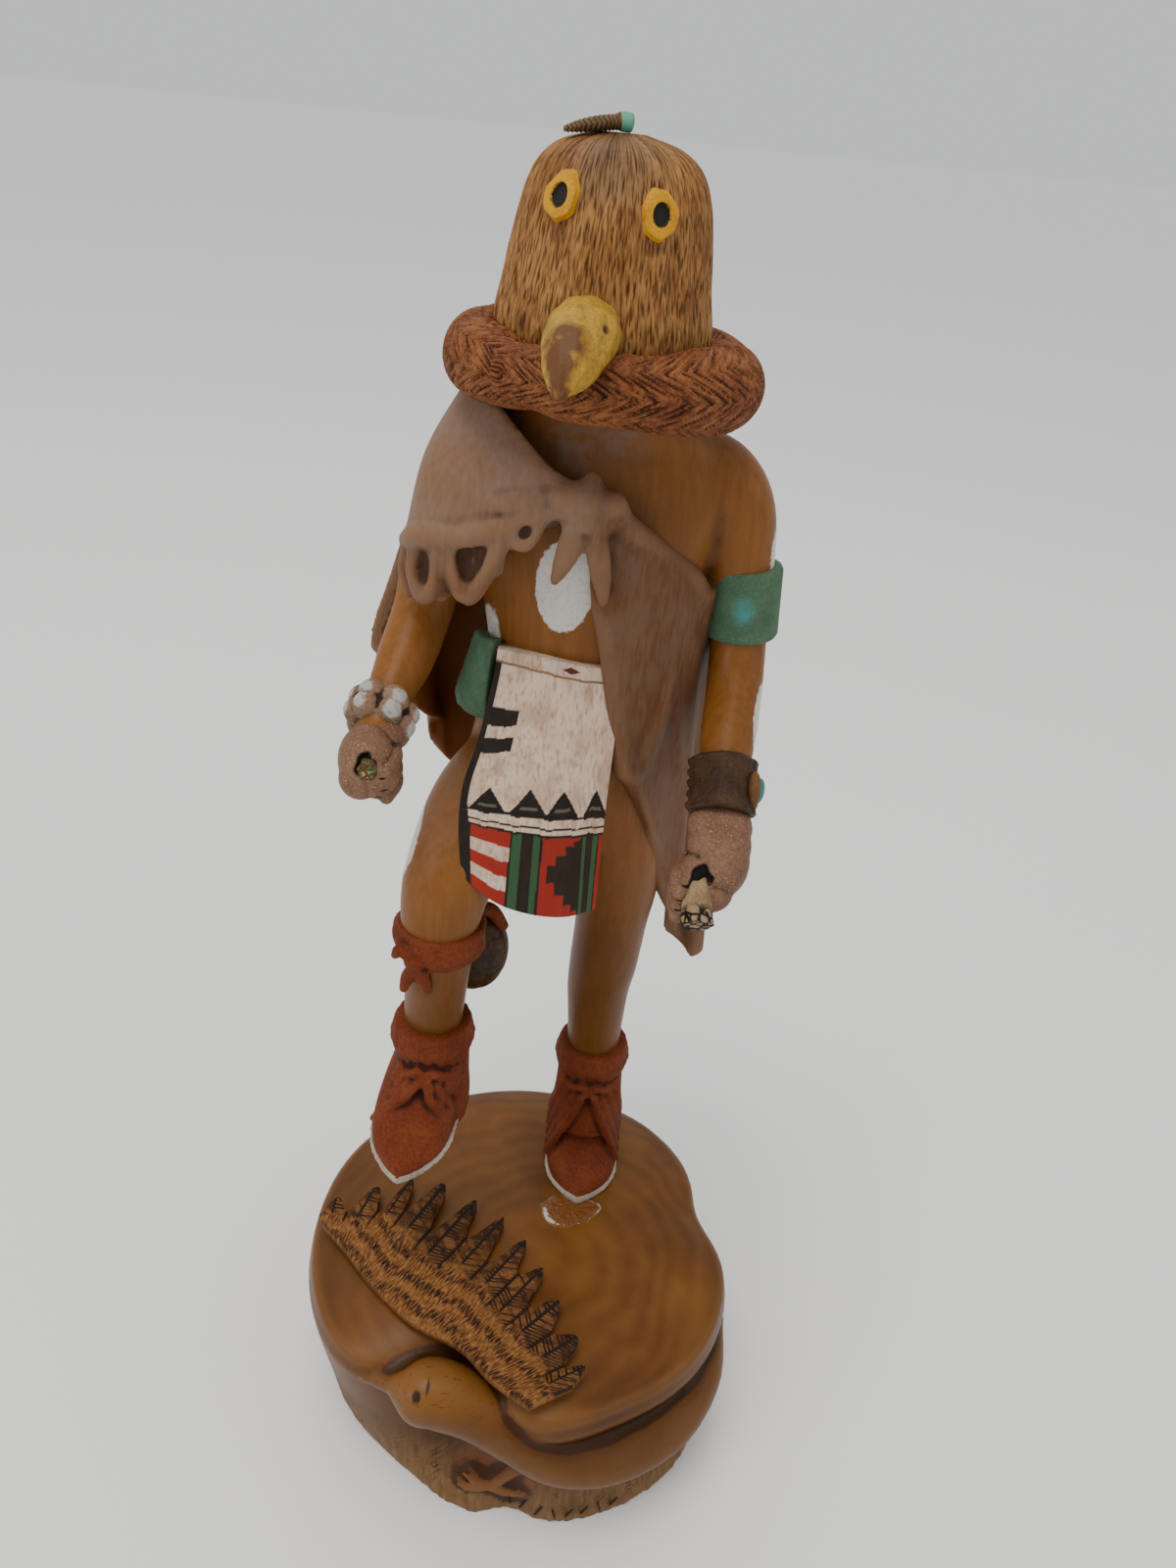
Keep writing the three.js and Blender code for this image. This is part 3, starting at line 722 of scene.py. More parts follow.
# %% Gouge cuts
MASK = [
    (0, 22, 330, 25, 24), (0, 22, 344.5, 25.2, 24.4), (0.2, 22, 353, 23.8, 23.2),
    (0.6, 22, 362, 22.4, 22), (1, 22, 371, 20.6, 20.4), (1, 22, 377, 17.8, 18),
    (0.7, 22, 380.8, 13, 13.2), (0.3, 22, MASK_TOP, 5.5, 5.5),
]
MASK_REACH = 22.3  # its middling radius, which turns an angle into a length of skin
VEINER_DEPTH, FACET_DEPTH = 0.38, 0.25


def strokes(across, along, spacing, length, width, seed=0.0, slant=0.18):
    """Depth from 0 to 1 of short cuts in staggered columns, for places given in millimetres."""
    column = np.floor(across / spacing)
    shift = hashed(column, seed)
    row = np.floor(along / length + shift)
    chance = hashed(column, row, seed + 0.3)
    middle = (along / length + shift - row - 0.5) * length
    centre = (column + 0.25 + 0.5 * hashed(column, row, seed + 0.7)) * spacing
    lean = slant * (hashed(row, column, seed) - 0.5) * 2
    off = (across - centre - lean * middle) / (width * (0.6 + 0.5 * chance))
    ends = np.clip(1 - (2 * middle / (length * (0.72 + 0.28 * chance))) ** 2, 0, 1)
    return np.clip(1 - off**2, 0, 1) * ends


def mask():
    around, along = 450, 130
    cuts = {}

    def shape(turn, run):
        step, spread = flat_ended(run, along)
        at = through(MASK, step)
        across = turn * MASK_REACH
        rise = at[:, 2] + 0.35 * at[:, 3]
        cut = np.maximum(strokes(across, rise, 1.15, 5.2, 0.3),
                         0.8 * strokes(across + 0.6, rise + 2, 1.5, 6.4, 0.26, 3))
        cut *= smooth_step(4, 9, at[:, 3])
        cuts["cut"] = cut
        cuts["across"], cuts["along"] = across, rise
        # the crown is greyer and darker towards the top, in three broad lobes round it
        crown_darkening = 0.5 + 0.5 * np.sin(3 * turn + 0.4)
        cuts["crown_dark"] = smooth_step(362, 379, at[:, 2]) * (0.3 + 0.7 * crown_darkening)
        facet = FACET_DEPTH * np.sin(turn * 23 + 0.7 * np.sin(at[:, 2] * 0.3))
        reach = facet - VEINER_DEPTH * cut
        at[:, 0] += (at[:, 3] + reach) * np.cos(turn) * spread
        at[:, 1] += (at[:, 4] + reach) * np.sin(turn) * spread
        return at[:, :3]

    piece = shown("mask", moulded(around, along, shape))
    keep_all(piece, cuts)
    material, tree, shader, place = material_named("stained cottonwood, veined mask")
    streak = noise(tree, place, 1.0, 4, (1, 1, 5))
    clouds = noise(tree, place, 14, 3)
    both = summed(tree, streak, clouds)
    base = blend(tree, between(tree, both, 0.75, 1.25), paint("794b22"), paint("a87a43"))
    # greyer, darker crown
    crown_darkening = times(tree, kept(tree, "crown_dark"), clouds)
    base = blend(tree, between(tree, crown_darkening, 0.15, 0.5, 0, 0.7), base, paint("67543f"))
    fine = scored(tree, 0.42, 4.2)
    lined = blend(tree, between(tree, fine, 0, 1, 0, 0.75), base, paint("42240d"))
    veined = between(tree, kept(tree, "cut"), 0.25, 0.95, 0, 0.9)
    colour = blend(tree, veined, lined, paint("41220d"))
    wood_surface(tree, shader, colour, 0.55, between(tree, fine, 0, 1, 1, 0), 0.16)
    return finish_piece(piece, material, "figure")


mask()

# %% [markdown]
# ## Eyes
# Each eye is a flat raised ring left standing on the mask and painted yellow, with the pupil cut
# in and painted black. A low dome is laid on the mask's own surface, so the ring follows it.

# %% Eye rings


def on_mask(bearing, height, out):
    """A place on the mask's surface, or out from it."""
    table = through(MASK, np.linspace(0, 1, 400))
    middle_x, middle_y, wide, deep = (np.interp(height, table[:, 2], table[:, k])
                                      for k in (0, 1, 3, 4))
    return np.stack([middle_x + (wide + out) * np.cos(bearing),
                     middle_y + (deep + out) * np.sin(bearing), height], 1)


EYE_RING, PUPIL = np.array([4.1, 4.9]), np.array([1.9, 2.4])  # half widths and half heights
EYE_REACH = 20.5  # the mask's radius at the eyes


def eye(name, bearing_degrees, height):
    rims = {}

    def shape(turn, run):
        share = np.sin(run * math.pi)
        wobble = 1 + 0.04 * np.sin(3 * turn + bearing_degrees) + 0.03 * np.sin(7 * turn)
        flat = share[:, None] * np.stack([np.cos(turn), np.sin(turn)], 1) * EYE_RING
        flat = flat * wobble[:, None]
        inner = np.linalg.norm(flat / PUPIL, axis=1)
        rims["pupil"] = 1 - inner
        raised = 1.1 * smooth_step(0.0, 0.16, 1 - share) + 0.2 - 1.0 * smooth_step(1.1, 0.85, inner)
        out = np.where(run < 0.5, raised, -2.0)
        bearing = math.radians(bearing_degrees) + flat[:, 0] / EYE_REACH
        return on_mask(bearing, height + flat[:, 1], out)

    piece = shown(name, moulded(72, 80, shape))
    keep(piece, "pupil", rims["pupil"])
    keep_hollows(piece, 1)
    return piece


def eye_paint():
    material, tree, shader, place, colour = painted_wood(
        "yellow earth paint, eye rings", "6b4408", "b27812", "cb941d", 0.6, 0.5, 0.25)
    ragged = between(tree, noise(tree, place, 0.8, 3), 0.3, 0.7, -0.1, 0.1)
    edge = summed(tree, kept(tree, "pupil"), ragged)
    dark = blend(tree, between(tree, edge, -0.03, 0.08), colour, paint("24211d"))
    tree.links.new(dark, shader.inputs["Base Color"])
    return material


eye_finish = eye_paint()
for side, bearing_degrees, height in (("right", 237.0, 371.0), ("left", 296.5, 369.2)):
    finish_piece(eye("eye_" + side, bearing_degrees, height), eye_finish, "figure")


# %% [markdown]
# ## The ruff
# The ruff stands for a roll of juniper. It is one roll that goes once round the neck and laps
# over itself at the front. Its cuts lie in herringbone rows: each row slants against the next.

# %% Herringbone roll
RUFF_START, RUFF_SWEEP = -128.0, 392.0  # degrees: more than a full turn, so that it laps
RUFF_REACH, RUFF_GIRTH, RUFF_ROWS = 29, 54, 8
RUFF_CUT = 0.85


def ruff_stops():
    """The roll's middle line and half width. It thins at both ends, and its end tucks inside."""
    stops = []
    for share in np.linspace(0, 1, 15):
        bearing = math.radians(RUFF_START + RUFF_SWEEP * share)
        reach = 29.8 - 2 * share
        thick = 9.1 * min(1, 0.64 + 1.7 * min(share, 1 - share))
        stops.append((0.6 + reach * math.cos(bearing), 20 + reach * math.sin(bearing),
                      336 - 0.8 * share - math.cos(bearing), thick))
    return stops


def ruff():
    around, along, cap = 112, 510, 0.04
    stops = ruff_stops()
    length = RUFF_REACH * math.radians(RUFF_SWEEP)
    cuts = {}

    def grow(turn, step):
        across = turn / FULL_TURN * RUFF_GIRTH
        row_wide = RUFF_GIRTH / RUFF_ROWS
        row = np.floor(across / row_wide)
        side = np.where(row % 2 == 0, 1.0, -1.0)
        inside = across - (row + 0.5) * row_wide
        slanted = step * length + side * inside * 1.25
        cut = np.maximum(strokes(slanted, inside, 2.0, 6, 0.52, 5.0, 0.2),
                         0.7 * strokes(slanted + 1, inside + 2.4, 2.7, 5.4, 0.4, 8.0, 0.2))
        cuts["cut"] = cut
        cuts["across"], cuts["along"] = slanted, inside + row * 20
        lumps = 0.35 * np.sin(step * 31) + 0.2 * np.sin(step * 67 + turn)
        return lumps - RUFF_CUT * cut

    piece = shown("ruff", limb(stops, around, along, cap, 0.8, UP, grow))
    keep_all(piece, cuts)
    material, tree, shader, place = material_named("stained cottonwood, herringbone ruff")
    streak = noise(tree, place, 1.2, 4)
    clouds = noise(tree, place, 12, 3)
    both = summed(tree, streak, clouds)
    base = blend(tree, between(tree, both, 0.78, 1.2), paint("68351a"), paint("8b552e"))
    fine = scored(tree, 0.5, 3.4)
    lined = blend(tree, between(tree, fine, 0, 1, 0, 0.4), base, paint("401c0e"))
    gouged = between(tree, kept(tree, "cut"), 0.15, 0.7, 0, 0.85)
    colour = blend(tree, gouged, lined, paint("2a1007"))
    wood_surface(tree, shader, colour, 0.6, between(tree, fine, 0, 1, 1, 0), 0.18)
    return finish_piece(piece, material, "figure")


ruff()

# %% [markdown]
# ## The beak
# The beak is a separate peg of wood let into the mask, round above and hooked at the tip. It is
# yellow with a brown ridge where the paint has worn, a cut for the mouth and a small nostril.

# %% Beak
BEAK = [
    (-2.8, 0.5, 345.5, 7.2, 7), (-3.2, -7, 346, 7.8, 7.4), (-4, -13.5, 344.6, 7.3, 6.8),
    (-5, -19.5, 341.8, 5.8, 5.4), (-6, -24, 339.4, 3.4, 3.2), (-6.4, -26.5, 337.6, 1.4, 1.3),
]


def beak():
    marks = {}

    def grow(turn, step):
        side = np.degrees(turn)
        mouth = hump(turn, -24, 4) + hump(turn, 204, 4)
        mouth *= smooth_step(0.16, 0.3, step)
        nostril = np.exp(-(((side + 360) % 360 - 38) / 7) ** 2 - ((step - 0.36) / 0.03) ** 2)
        seam = np.exp(-((step - 0.1) / 0.025) ** 2)
        marks["cut"] = np.clip(mouth * 0.7 + nostril, 0, 1)
        marks["ridge"] = np.maximum(hump(turn, 104, 60) * smooth_step(0.36, 0.56, step),
                                    smooth_step(0.82, 1, step))
        return -0.5 * mouth - 1.3 * nostril + 0.25 * seam + 0.12 * np.sin(9 * turn + 14 * step)

    piece = shown("beak_painted", limb(BEAK, 100, 80, 0.1, grow=grow))
    keep_all(piece, marks)
    keep_hollows(piece)
    material, tree, shader, place, colour = painted_wood(
        "yellow earth paint, worn beak", "634514", "977323", "b99134", 0.5, 0.7, 0.12)
    worn = times(tree, kept(tree, "ridge"), noise(tree, place, 3, 4))
    smudge = between(tree, noise(tree, place, 2.2, 4), 0.5, 0.66, 0, 0.6)
    smudged = blend(tree, smudge, colour, paint("6f5c22"))
    browned = blend(tree, between(tree, worn, 0.16, 0.4), smudged, paint("5f3c20"))
    cut = blend(tree, between(tree, kept(tree, "cut"), 0.3, 0.8), browned, paint("2e2014"))
    tree.links.new(cut, shader.inputs["Base Color"])
    return finish_piece(piece, material, "beak")


beak()

# %% [markdown]
# ## The crown feather
# A small carved feather lies on top of the mask. Its barbs are burnt in, and its base is
# painted turquoise.

# %% Crown feather
FEATHER = [
    (-11.3, 16.5, 382.8, 0.7, 1.2), (-8, 16.8, 383.6, 1.3, 2.5), (-4, 17.2, 384.4, 1.6, 2.9),
    (-0.8, 17.6, 384.9, 1.6, 2.3), (0.6, 17.8, 385.1, 1.9, 2.3), (2.4, 18, 385, 1.9, 2.3),
]


def crown_feather():
    marks = {}

    def grow(turn, step):
        barb = np.abs(np.sin(step * 60 + 2.4 * np.abs(np.cos(turn))))
        barbed = 1 - smooth_step(0.7, 0.75, step)
        marks["cut"] = (1 - barb) * barbed
        marks["cap"] = smooth_step(0.74, 0.77, step)
        return -0.25 * marks["cut"]

    piece = shown("crown_feather_carved", limb(FEATHER, 60, 120, 0.08, 0.4, UP, grow))
    keep_all(piece, marks)
    keep_hollows(piece)
    material, tree, shader, _, colour = painted_wood(
        "burnt wood and turquoise paint, feather", "2a1d12", "543e26", "795f3d", 0.7, 0.6, 0.1)
    burnt = blend(tree, between(tree, kept(tree, "cut"), 0.3, 0.8), colour, paint("2a2018"))
    capped = blend(tree, between(tree, kept(tree, "cap"), 0.4, 0.6), burnt, paint("5e9a80"))
    tree.links.new(capped, shader.inputs["Base Color"])
    return finish_piece(piece, material, "crown_feather")


crown_feather()

# %% [markdown]
# ## The cloak
# The cloak is knotted at the breast. A mantle with a thick turned lip covers the right shoulder,
# a pleated layer hangs below the lip in loops, and a long panel goes round the back to the left
# arm. Each fold is a rounded ridge laid on the sheet before everything is melted together.

# %% Cloak forms
MANTLE = [
    [(-18, 41, 325), (-23, 44, 308), (-27, 47, 290)],
    [(-27, 36, 327), (-36, 37, 310), (-42, 38, 288)],
    [(-31, 29, 328), (-40, 27, 311), (-46, 25, 286)],
    [(-31.5, 21, 328.5), (-40, 16, 312), (-44, 12, 291)],
    [(-28.5, 15, 328.5), (-36.6, 8, 313), (-39, 3.5, 296.5)],
    [(-22, 10, 327), (-27, 3.5, 314), (-29, 0.5, 298)],
    [(-15, 6, 321), (-17.5, 2.4, 313.5), (-19, 0.6, 301)],
    [(-9, 4, 316), (-10, 1.6, 311.5), (-11, 1, 305)],
    [(-3, 4, 312), (-3, 2.6, 309), (-3, 2.6, 305.5)],
]
PLEATS = [
    [(-23, 44, 308), (-27, 47, 290), (-28, 48, 280)],
    [(-36, 37, 310), (-42, 38, 288), (-43, 38, 278)],
    [(-40, 27, 311), (-45, 25, 286), (-44, 25, 275)],
    [(-40, 16, 311), (-43.5, 12.5, 288), (-42, 13, 277)],
    [(-36, 8, 312), (-38, 5, 294), (-37, 8, 279)],
    [(-27, 3.5, 313), (-28, 2.2, 295), (-27.5, 4, 283)],
    [(-17.5, 2.6, 312.5), (-18.5, 2, 298.5), (-18, 3, 293)],
    [(-10, 2, 311), (-11, 2.4, 303.5), (-11, 3, 301.5)],
    [(-3, 3, 308.5), (-3, 3, 305), (-3, 3, 303)],
]
CLOAK_BACK = [
    [(3, 5, 303), (5, 7, 284), (9, 8, 269), (12.5, 9, 256), (15.5, 9, 242), (18.6, 10, 231)],
    [(12, 8, 299), (17, 10, 281), (20.5, 12, 262), (23, 14, 244), (24, 16, 228), (25, 18, 211)],
    [(22, 13, 292), (28, 17, 274), (30.5, 21, 252), (32, 25, 230), (33, 28, 208), (34.5, 30, 185)],
    [(33, 21, 283), (33.5, 27, 263), (35, 31, 243), (37, 35, 220), (39.5, 38, 190), (42, 42, 154)],
    [(31, 36, 300), (34, 40, 275), (38, 43, 250), (41, 45, 222), (44, 46, 188), (46, 45, 152)],
    [(17, 42, 317), (19, 48, 285), (21, 52, 255), (24, 54, 228), (27, 54, 200), (31, 54, 172)],
    [(-4, 43, 321), (-4, 50, 288), (-4, 54, 260), (-3, 56, 235), (-2, 56, 212), (0, 55, 190)],
    [(-25, 40, 317), (-29, 47, 290), (-33, 51, 268), (-35, 51, 248), (-36, 50, 230), (-37, 48, 211)],
    [(-38, 32, 306), (-43, 37, 286), (-46, 40, 270), (-48, 41, 256), (-47, 42, 244), (-44, 43, 230)],
    [(-42, 22, 297), (-46, 24, 284), (-50, 26, 272), (-53, 28, 265), (-55, 29, 259), (-56.5, 30, 253)],
]
FOLDS = [  # rolls and ridges, each from the knot or the lip outwards
    [(-44.5, 14, 291, 1.8), (-39.6, 3.5, 296, 2.3), (-29.5, 0.2, 297.6, 2.2), (-19, 0.2, 300.8, 2),
     (-11, 0.6, 304.6, 1.8), (-5, 2, 306.6, 1.8)],
    [(-28, 3.4, 305, 0.8), (-20, 1.4, 306, 1.5), (-13, 1.2, 307.5, 1.7), (-6, 2, 309, 1.8)],
    [(-23, 7, 320, 0.8), (-16, 4.2, 316, 1.4), (-10, 3, 312.6, 1.7), (-5, 2.4, 310.5, 1.8)],
    [(6, 3, 306, 2.2), (12, 5.6, 300.5, 2.4), (21, 11.5, 293, 2.6), (29, 16, 286.5, 2.8),
     (33, 20, 281, 2.2)],
    [(5, 4.6, 301, 1.8), (12, 7, 293, 2.2), (21, 11.2, 284, 2.6), (29, 17.5, 274, 2.4)],
    [(4, 5.4, 300, 1.4), (5.2, 6.6, 284, 1.6), (9, 8, 269, 1.8), (12.3, 8.6, 256, 2.2),
     (15, 8.6, 244, 2.6), (17.6, 8.6, 234.5, 2.6)],
    [(26, 13.6, 264, 0.6), (25, 12.4, 252, 1.9), (22.6, 11.2, 241, 2.8), (19.6, 10, 233, 3)],
    [(27, 14.5, 262, 0.6), (29, 17, 249, 2.2), (31.4, 20.5, 236, 2.2), (33, 24, 224, 0.8)],
    [(25, 18, 212, 0.7), (30, 24, 198, 1.8), (35, 30.5, 182, 1.8), (39, 36.5, 168, 0.8)],
    [(30, 21, 222, 0.8), (34, 28, 203, 1.6), (37, 32.6, 188, 1.4), (39, 35.5, 178, 0.6)],
]
LOOPS = [  # the hem of the pleated layer turns back on itself in loops
    [(-39.6, 8, 293, 2.2, 2.6), (-40.4, 8, 286, 2.5, 2.8), (-37.6, 5.2, 280.4, 2.5, 2.8),
     (-34.4, 4.2, 286, 2.4, 2.8), (-33.8, 3.6, 294, 2.2, 2.6)],
    [(-31, 3.4, 295, 2.1, 2.6), (-30, 2.6, 288, 2.4, 2.8), (-26.6, 1.4, 282.8, 2.6, 2.8),
     (-22.8, 1.2, 288, 2.5, 2.8), (-20.2, 1.4, 294.5, 2.3, 2.6), (-19.2, 1.8, 299, 2, 2.4)],
    [(-16.6, 2, 303, 1.6, 2.2), (-16, 1.4, 298.4, 1.8, 2.4), (-13.4, 1.2, 297, 1.9, 2.4),
     (-10.8, 1.6, 300.6, 1.7, 2.2), (-9.8, 2.4, 304.4, 1.5, 2)],
]
PLEAT_RIDGES = [  # the pleats that stand between the loops
    [(-42.8, 13, 291, 1.8), (-43.6, 13, 284, 2.2), (-42.6, 12.4, 277.5, 1.4)],
    [(-36.2, 5.6, 295, 1.6), (-36.6, 5.4, 287, 1.6), (-36.8, 5.6, 280, 1)],
    [(-32.6, 4, 296, 1.8), (-33, 4, 287, 2), (-33, 4.4, 280.5, 1.2)],
    [(-25, 2, 298, 1.5), (-25.6, 1.8, 290, 1.5), (-26, 2, 284.5, 1)],
    [(-18.6, 1.8, 301, 1.7), (-19, 2, 295, 1.8), (-19.2, 2.4, 289.5, 1.2)],
]
KNOT = [  # two bights wrapped by a short turn between them
    [(-7.4, 3.6, 309, 2.6, 3), (-3.4, 1.8, 308.6, 5.2, 4), (-1, 2.4, 304.6, 3.4, 3.4)],
    [(8.8, 4.8, 305.6, 2.4, 2.8), (5.6, 2.6, 308, 4.2, 3.6), (3, 3, 304.4, 2.8, 3.2)],
    [(1.2, 5, 312.6, 2.4, 2.6), (1, -0.4, 308.6, 2.5, 2), (0.8, 1, 303.2, 2, 2)],
    [(-2.4, 3, 303.4, 2.2, 2.6), (1.6, 0.8, 304, 2.6, 2.4), (6, 3, 303.6, 2, 2.4)],
]
KNOT_TAILS = [
    [(-2, 1.5, 304, 2.5, 2.2), (-3.2, 0.8, 296, 3, 2.2), (-5.8, 2, 288.5, 1.4, 1.4)],
    [(2.8, 1.5, 303.5, 2.2, 2), (4.6, 1.8, 294, 3, 2.1), (6.4, 3.4, 284, 1.5, 1.4)],
]

SHEET_MIDDLE = (4, 45)
FOLD_SWELL, FOLD_PROUD = 1.45, 1.2


def cloak_wash():
    material, tree, shader, place = material_named("thin mauve wash on cottonwood, cloak")
    clouds = noise(tree, place, 13, 4)
    brush = noise(tree, place, 1.1, 5, (1, 1, 6))
    both = summed(tree, clouds, brush)
    dusky = blend(tree, between(tree, both, 0.85, 1.15), paint("613c23"), paint("664b37"))
    dusty = blend(tree, between(tree, both, 0.7, 1.3), paint("75543c"), paint("7c6555"))
    washed = blend(tree, kept(tree, "mantle"), dusky, dusty)
    # wear and a painted highlight on ridges, pooled wash and painted shade in hollows
    ridge = between(tree, kept(tree, "hollow"), -0.09, -0.015, 0.7, 0)
    rubbed_and_lit = blend(tree, ridge, washed, paint("7d5b40"))
    pooled_and_shaded = between(tree, kept(tree, "hollow"), 0.01, 0.09, 0, 0.85)
    hollowed = blend(tree, pooled_and_shaded, rubbed_and_lit, paint("3c2414"))
    behind = between(tree, kept(tree, "inside"), 0.2, 0.8)
    colour = blend(tree, behind, hollowed, paint("60340e"))
    wood_surface(tree, shader, colour, 0.58, brush, 0.1)
    return material


def sunk(fold):
    """The fold made wider and set back into the sheet, so that a low soft ridge is left."""
    stops = np.array(fold, float)
    inward = np.array(SHEET_MIDDLE) - stops[:, :2]
    inward /= np.linalg.norm(inward, axis=1)[:, None]
    back = np.maximum(FOLD_SWELL * stops[:, 3] - FOLD_PROUD, 0)
    stops[:, :2] += inward * back[:, None]
    stops[:, 3] *= FOLD_SWELL
    return [tuple(stop) for stop in stops]


def cloak():
    parts = [cloth(MANTLE, 60, 30, 7), cloth(CLOAK_BACK, 150, 60, 4.6,
             lambda u, v: 2.2 * v * smooth_step(0.12, 0.3, u) * np.sin(u * FULL_TURN * 5.5) + 2)]
    parts.append(cloth(PLEATS, 110, 24, 6, lambda u, v: 2 * v * np.sin(u * FULL_TURN * 9) - 0.8))
    parts += [limb(sunk(fold), 22, 44, 0.1) for fold in FOLDS]
    parts += [limb(loop, 16, 40, 0.1) for loop in LOOPS + PLEAT_RIDGES]
    for loop in LOOPS:
        behind = np.mean(np.array(loop)[:, :3], 0) + (0.8, 3.4, 2)
        parts.append(lump(behind, (3.6, 2.6, 6)))
    parts += [limb(tail, 20, 34, 0.16) for tail in KNOT_TAILS]
    parts += [limb(turn, 24, 40, 0.16) for turn in KNOT]
    piece = melted("cloak", parts, 1.0, 4)
    normals = normals_of(piece.data)
    spots = placed(piece.data)
    for loop in LOOPS:
        ends = np.array(loop)[:, :3]
        half = np.maximum((ends.max(0) - ends.min(0)) / 2 - 0.9, (2.2, 3, 2.2))
        off = np.linalg.norm((spots - (ends.max(0) + ends.min(0)) / 2) / half, axis=1)
        spots -= normals * (1.6 * smooth_step(1.15, 0.6, off))[:, None]
    put(piece.data, spots)
    keep_hollows(piece, 2, 0.75)
    front = smooth_step(285, 296, spots[:, 2]) * smooth_step(8, -2, spots[:, 0])
    keep(piece, "mantle", front * smooth_step(46, 26, spots[:, 1]))
    inward = (normals[:, :2] * (spots[:, :2] - (0, 24))).sum(1) < 0
    keep(piece, "inside", (inward & (spots[:, 1] > 24) & (spots[:, 0] < 6)).astype(float))
    return finish_piece(piece, cloak_wash(), "figure")


cloak()

# %% [markdown]
# ## The kilt
# The dance kilt is carved smooth and its border is painted: black steps and triangles, white
# lines and panels of red and green. The pattern runs with the cloth, so it is worked out from
# the shares across and down the panel and kept as a colour on each vertex of a fine grid.

# %% Kilt pattern
KILT = [
    [(-19.6, 13.4, 265), (-20.2, 12.6, 258), (-22.8, 7, 242), (-25.7, 1, 231), (-25.9, -3.5, 221),
     (-24.2, -8, 208.5)],
    [(-8, 10.8, 265), (-8.6, 10.4, 257), (-10, 5.8, 244), (-11.5, 1.4, 232), (-12, -3.4, 218),
     (-12.1, -8, 199.5)],
    [(2, 10, 264), (2, 9.6, 256), (2.1, 7, 244), (2.2, 4, 232), (3, 0.6, 216), (3.6, -3, 194.5)],
    [(13, 12, 263), (13, 11.6, 255), (12.8, 9, 242), (12.5, 7, 232), (12.3, 4, 217),
     (12.4, 1, 195.5)],
]
BELT_SHARE = 0.105
KILT_THICK = 6
CREAM, BLACK, RED, GREEN, DARK = "cdb5a0", "1c1713", "8e2419", "2f4f30", "251b13"


def kilt_colours(u, v):
    """The pattern of the kilt by shares across (u) and down (v), as one colour per vertex."""
    waver = 0.002 * np.sin(u * 31 + v * 17) + 0.001 * np.sin(u * 67)
    u = u + waver
    low = smooth_step(0.42, 0.6, v) * smooth_step(1.0, 0.72, v)
    v = v + waver - (0.035 + 0.02 * u) * low
    code = np.full(len(u), CREAM, dtype="<U6")

    def fill(where, tint):
        code[where] = tint

    apex = np.array([0.17, 0.42, 0.63, 0.9])
    half = 0.125
    peak = np.max([1 - np.abs(u - a) / half for a in apex], axis=0)
    base, top = 0.675, 0.565
    fill((v < base) & (v > base - np.maximum(peak, 0.1) * (base - top)), BLACK)
    inner = (v < base - 0.016) & (v > base - (peak - 0.3) * (base - top) - 0.004)
    fill(inner & (np.abs(v - base + 0.035) < 0.006) & (peak > 0.3), "5a5348")
    fill((v > 0.704) & (v < 0.712), DARK)
    below = v > 0.735
    edges = [(0.07, 0.335, RED), (0.335, 0.405, GREEN), (0.405, 0.455, DARK), (0.455, 0.505, GREEN),
             (0.505, 0.79, RED), (0.79, 0.838, GREEN), (0.838, 0.892, DARK), (0.892, 0.958, GREEN),
             (0.958, 1.1, RED)]
    for start, end, tint in edges:
        fill(below & (u >= start) & (u < end), tint)
        fill(below & (np.abs(u - start) < 0.007), BLACK)
    for start, end in ((0.795, 0.85), (0.905, 0.955)):
        fill((u > 0.075) & (u < 0.33) & (v > start) & (v < end), CREAM)
    steps = [(0.55, 0.6, 0.03), (0.6, 0.66, 0.065), (0.66, 0.72, 0.1), (0.72, 0.785, 0.118)]
    for start, end, tall in steps:
        fill((u > start) & (u < end) & (np.abs(v - 0.868) < tall), DARK)
    fill((u < 0.045 + 0.03 * smooth_step(0.6, 0.8, v)) & (v > BELT_SHARE), BLACK)
    for start, end in ((0.3, 0.355), (0.395, 0.45)):
        fill((v > start) & (v < end) & (u < 0.24), BLACK)
    fill((v > 0.728) & (v < 0.738), BLACK)
    fill(np.abs(v - BELT_SHARE) < 0.006, "8a6a4c")
    fill(np.abs(u - 0.6) / 0.08 + np.abs(v - 0.05) / 0.028 < 1, "4f2015")
    names, where = np.unique(code, return_inverse=True)
    return np.array([paint(str(name)) for name in names])[where]


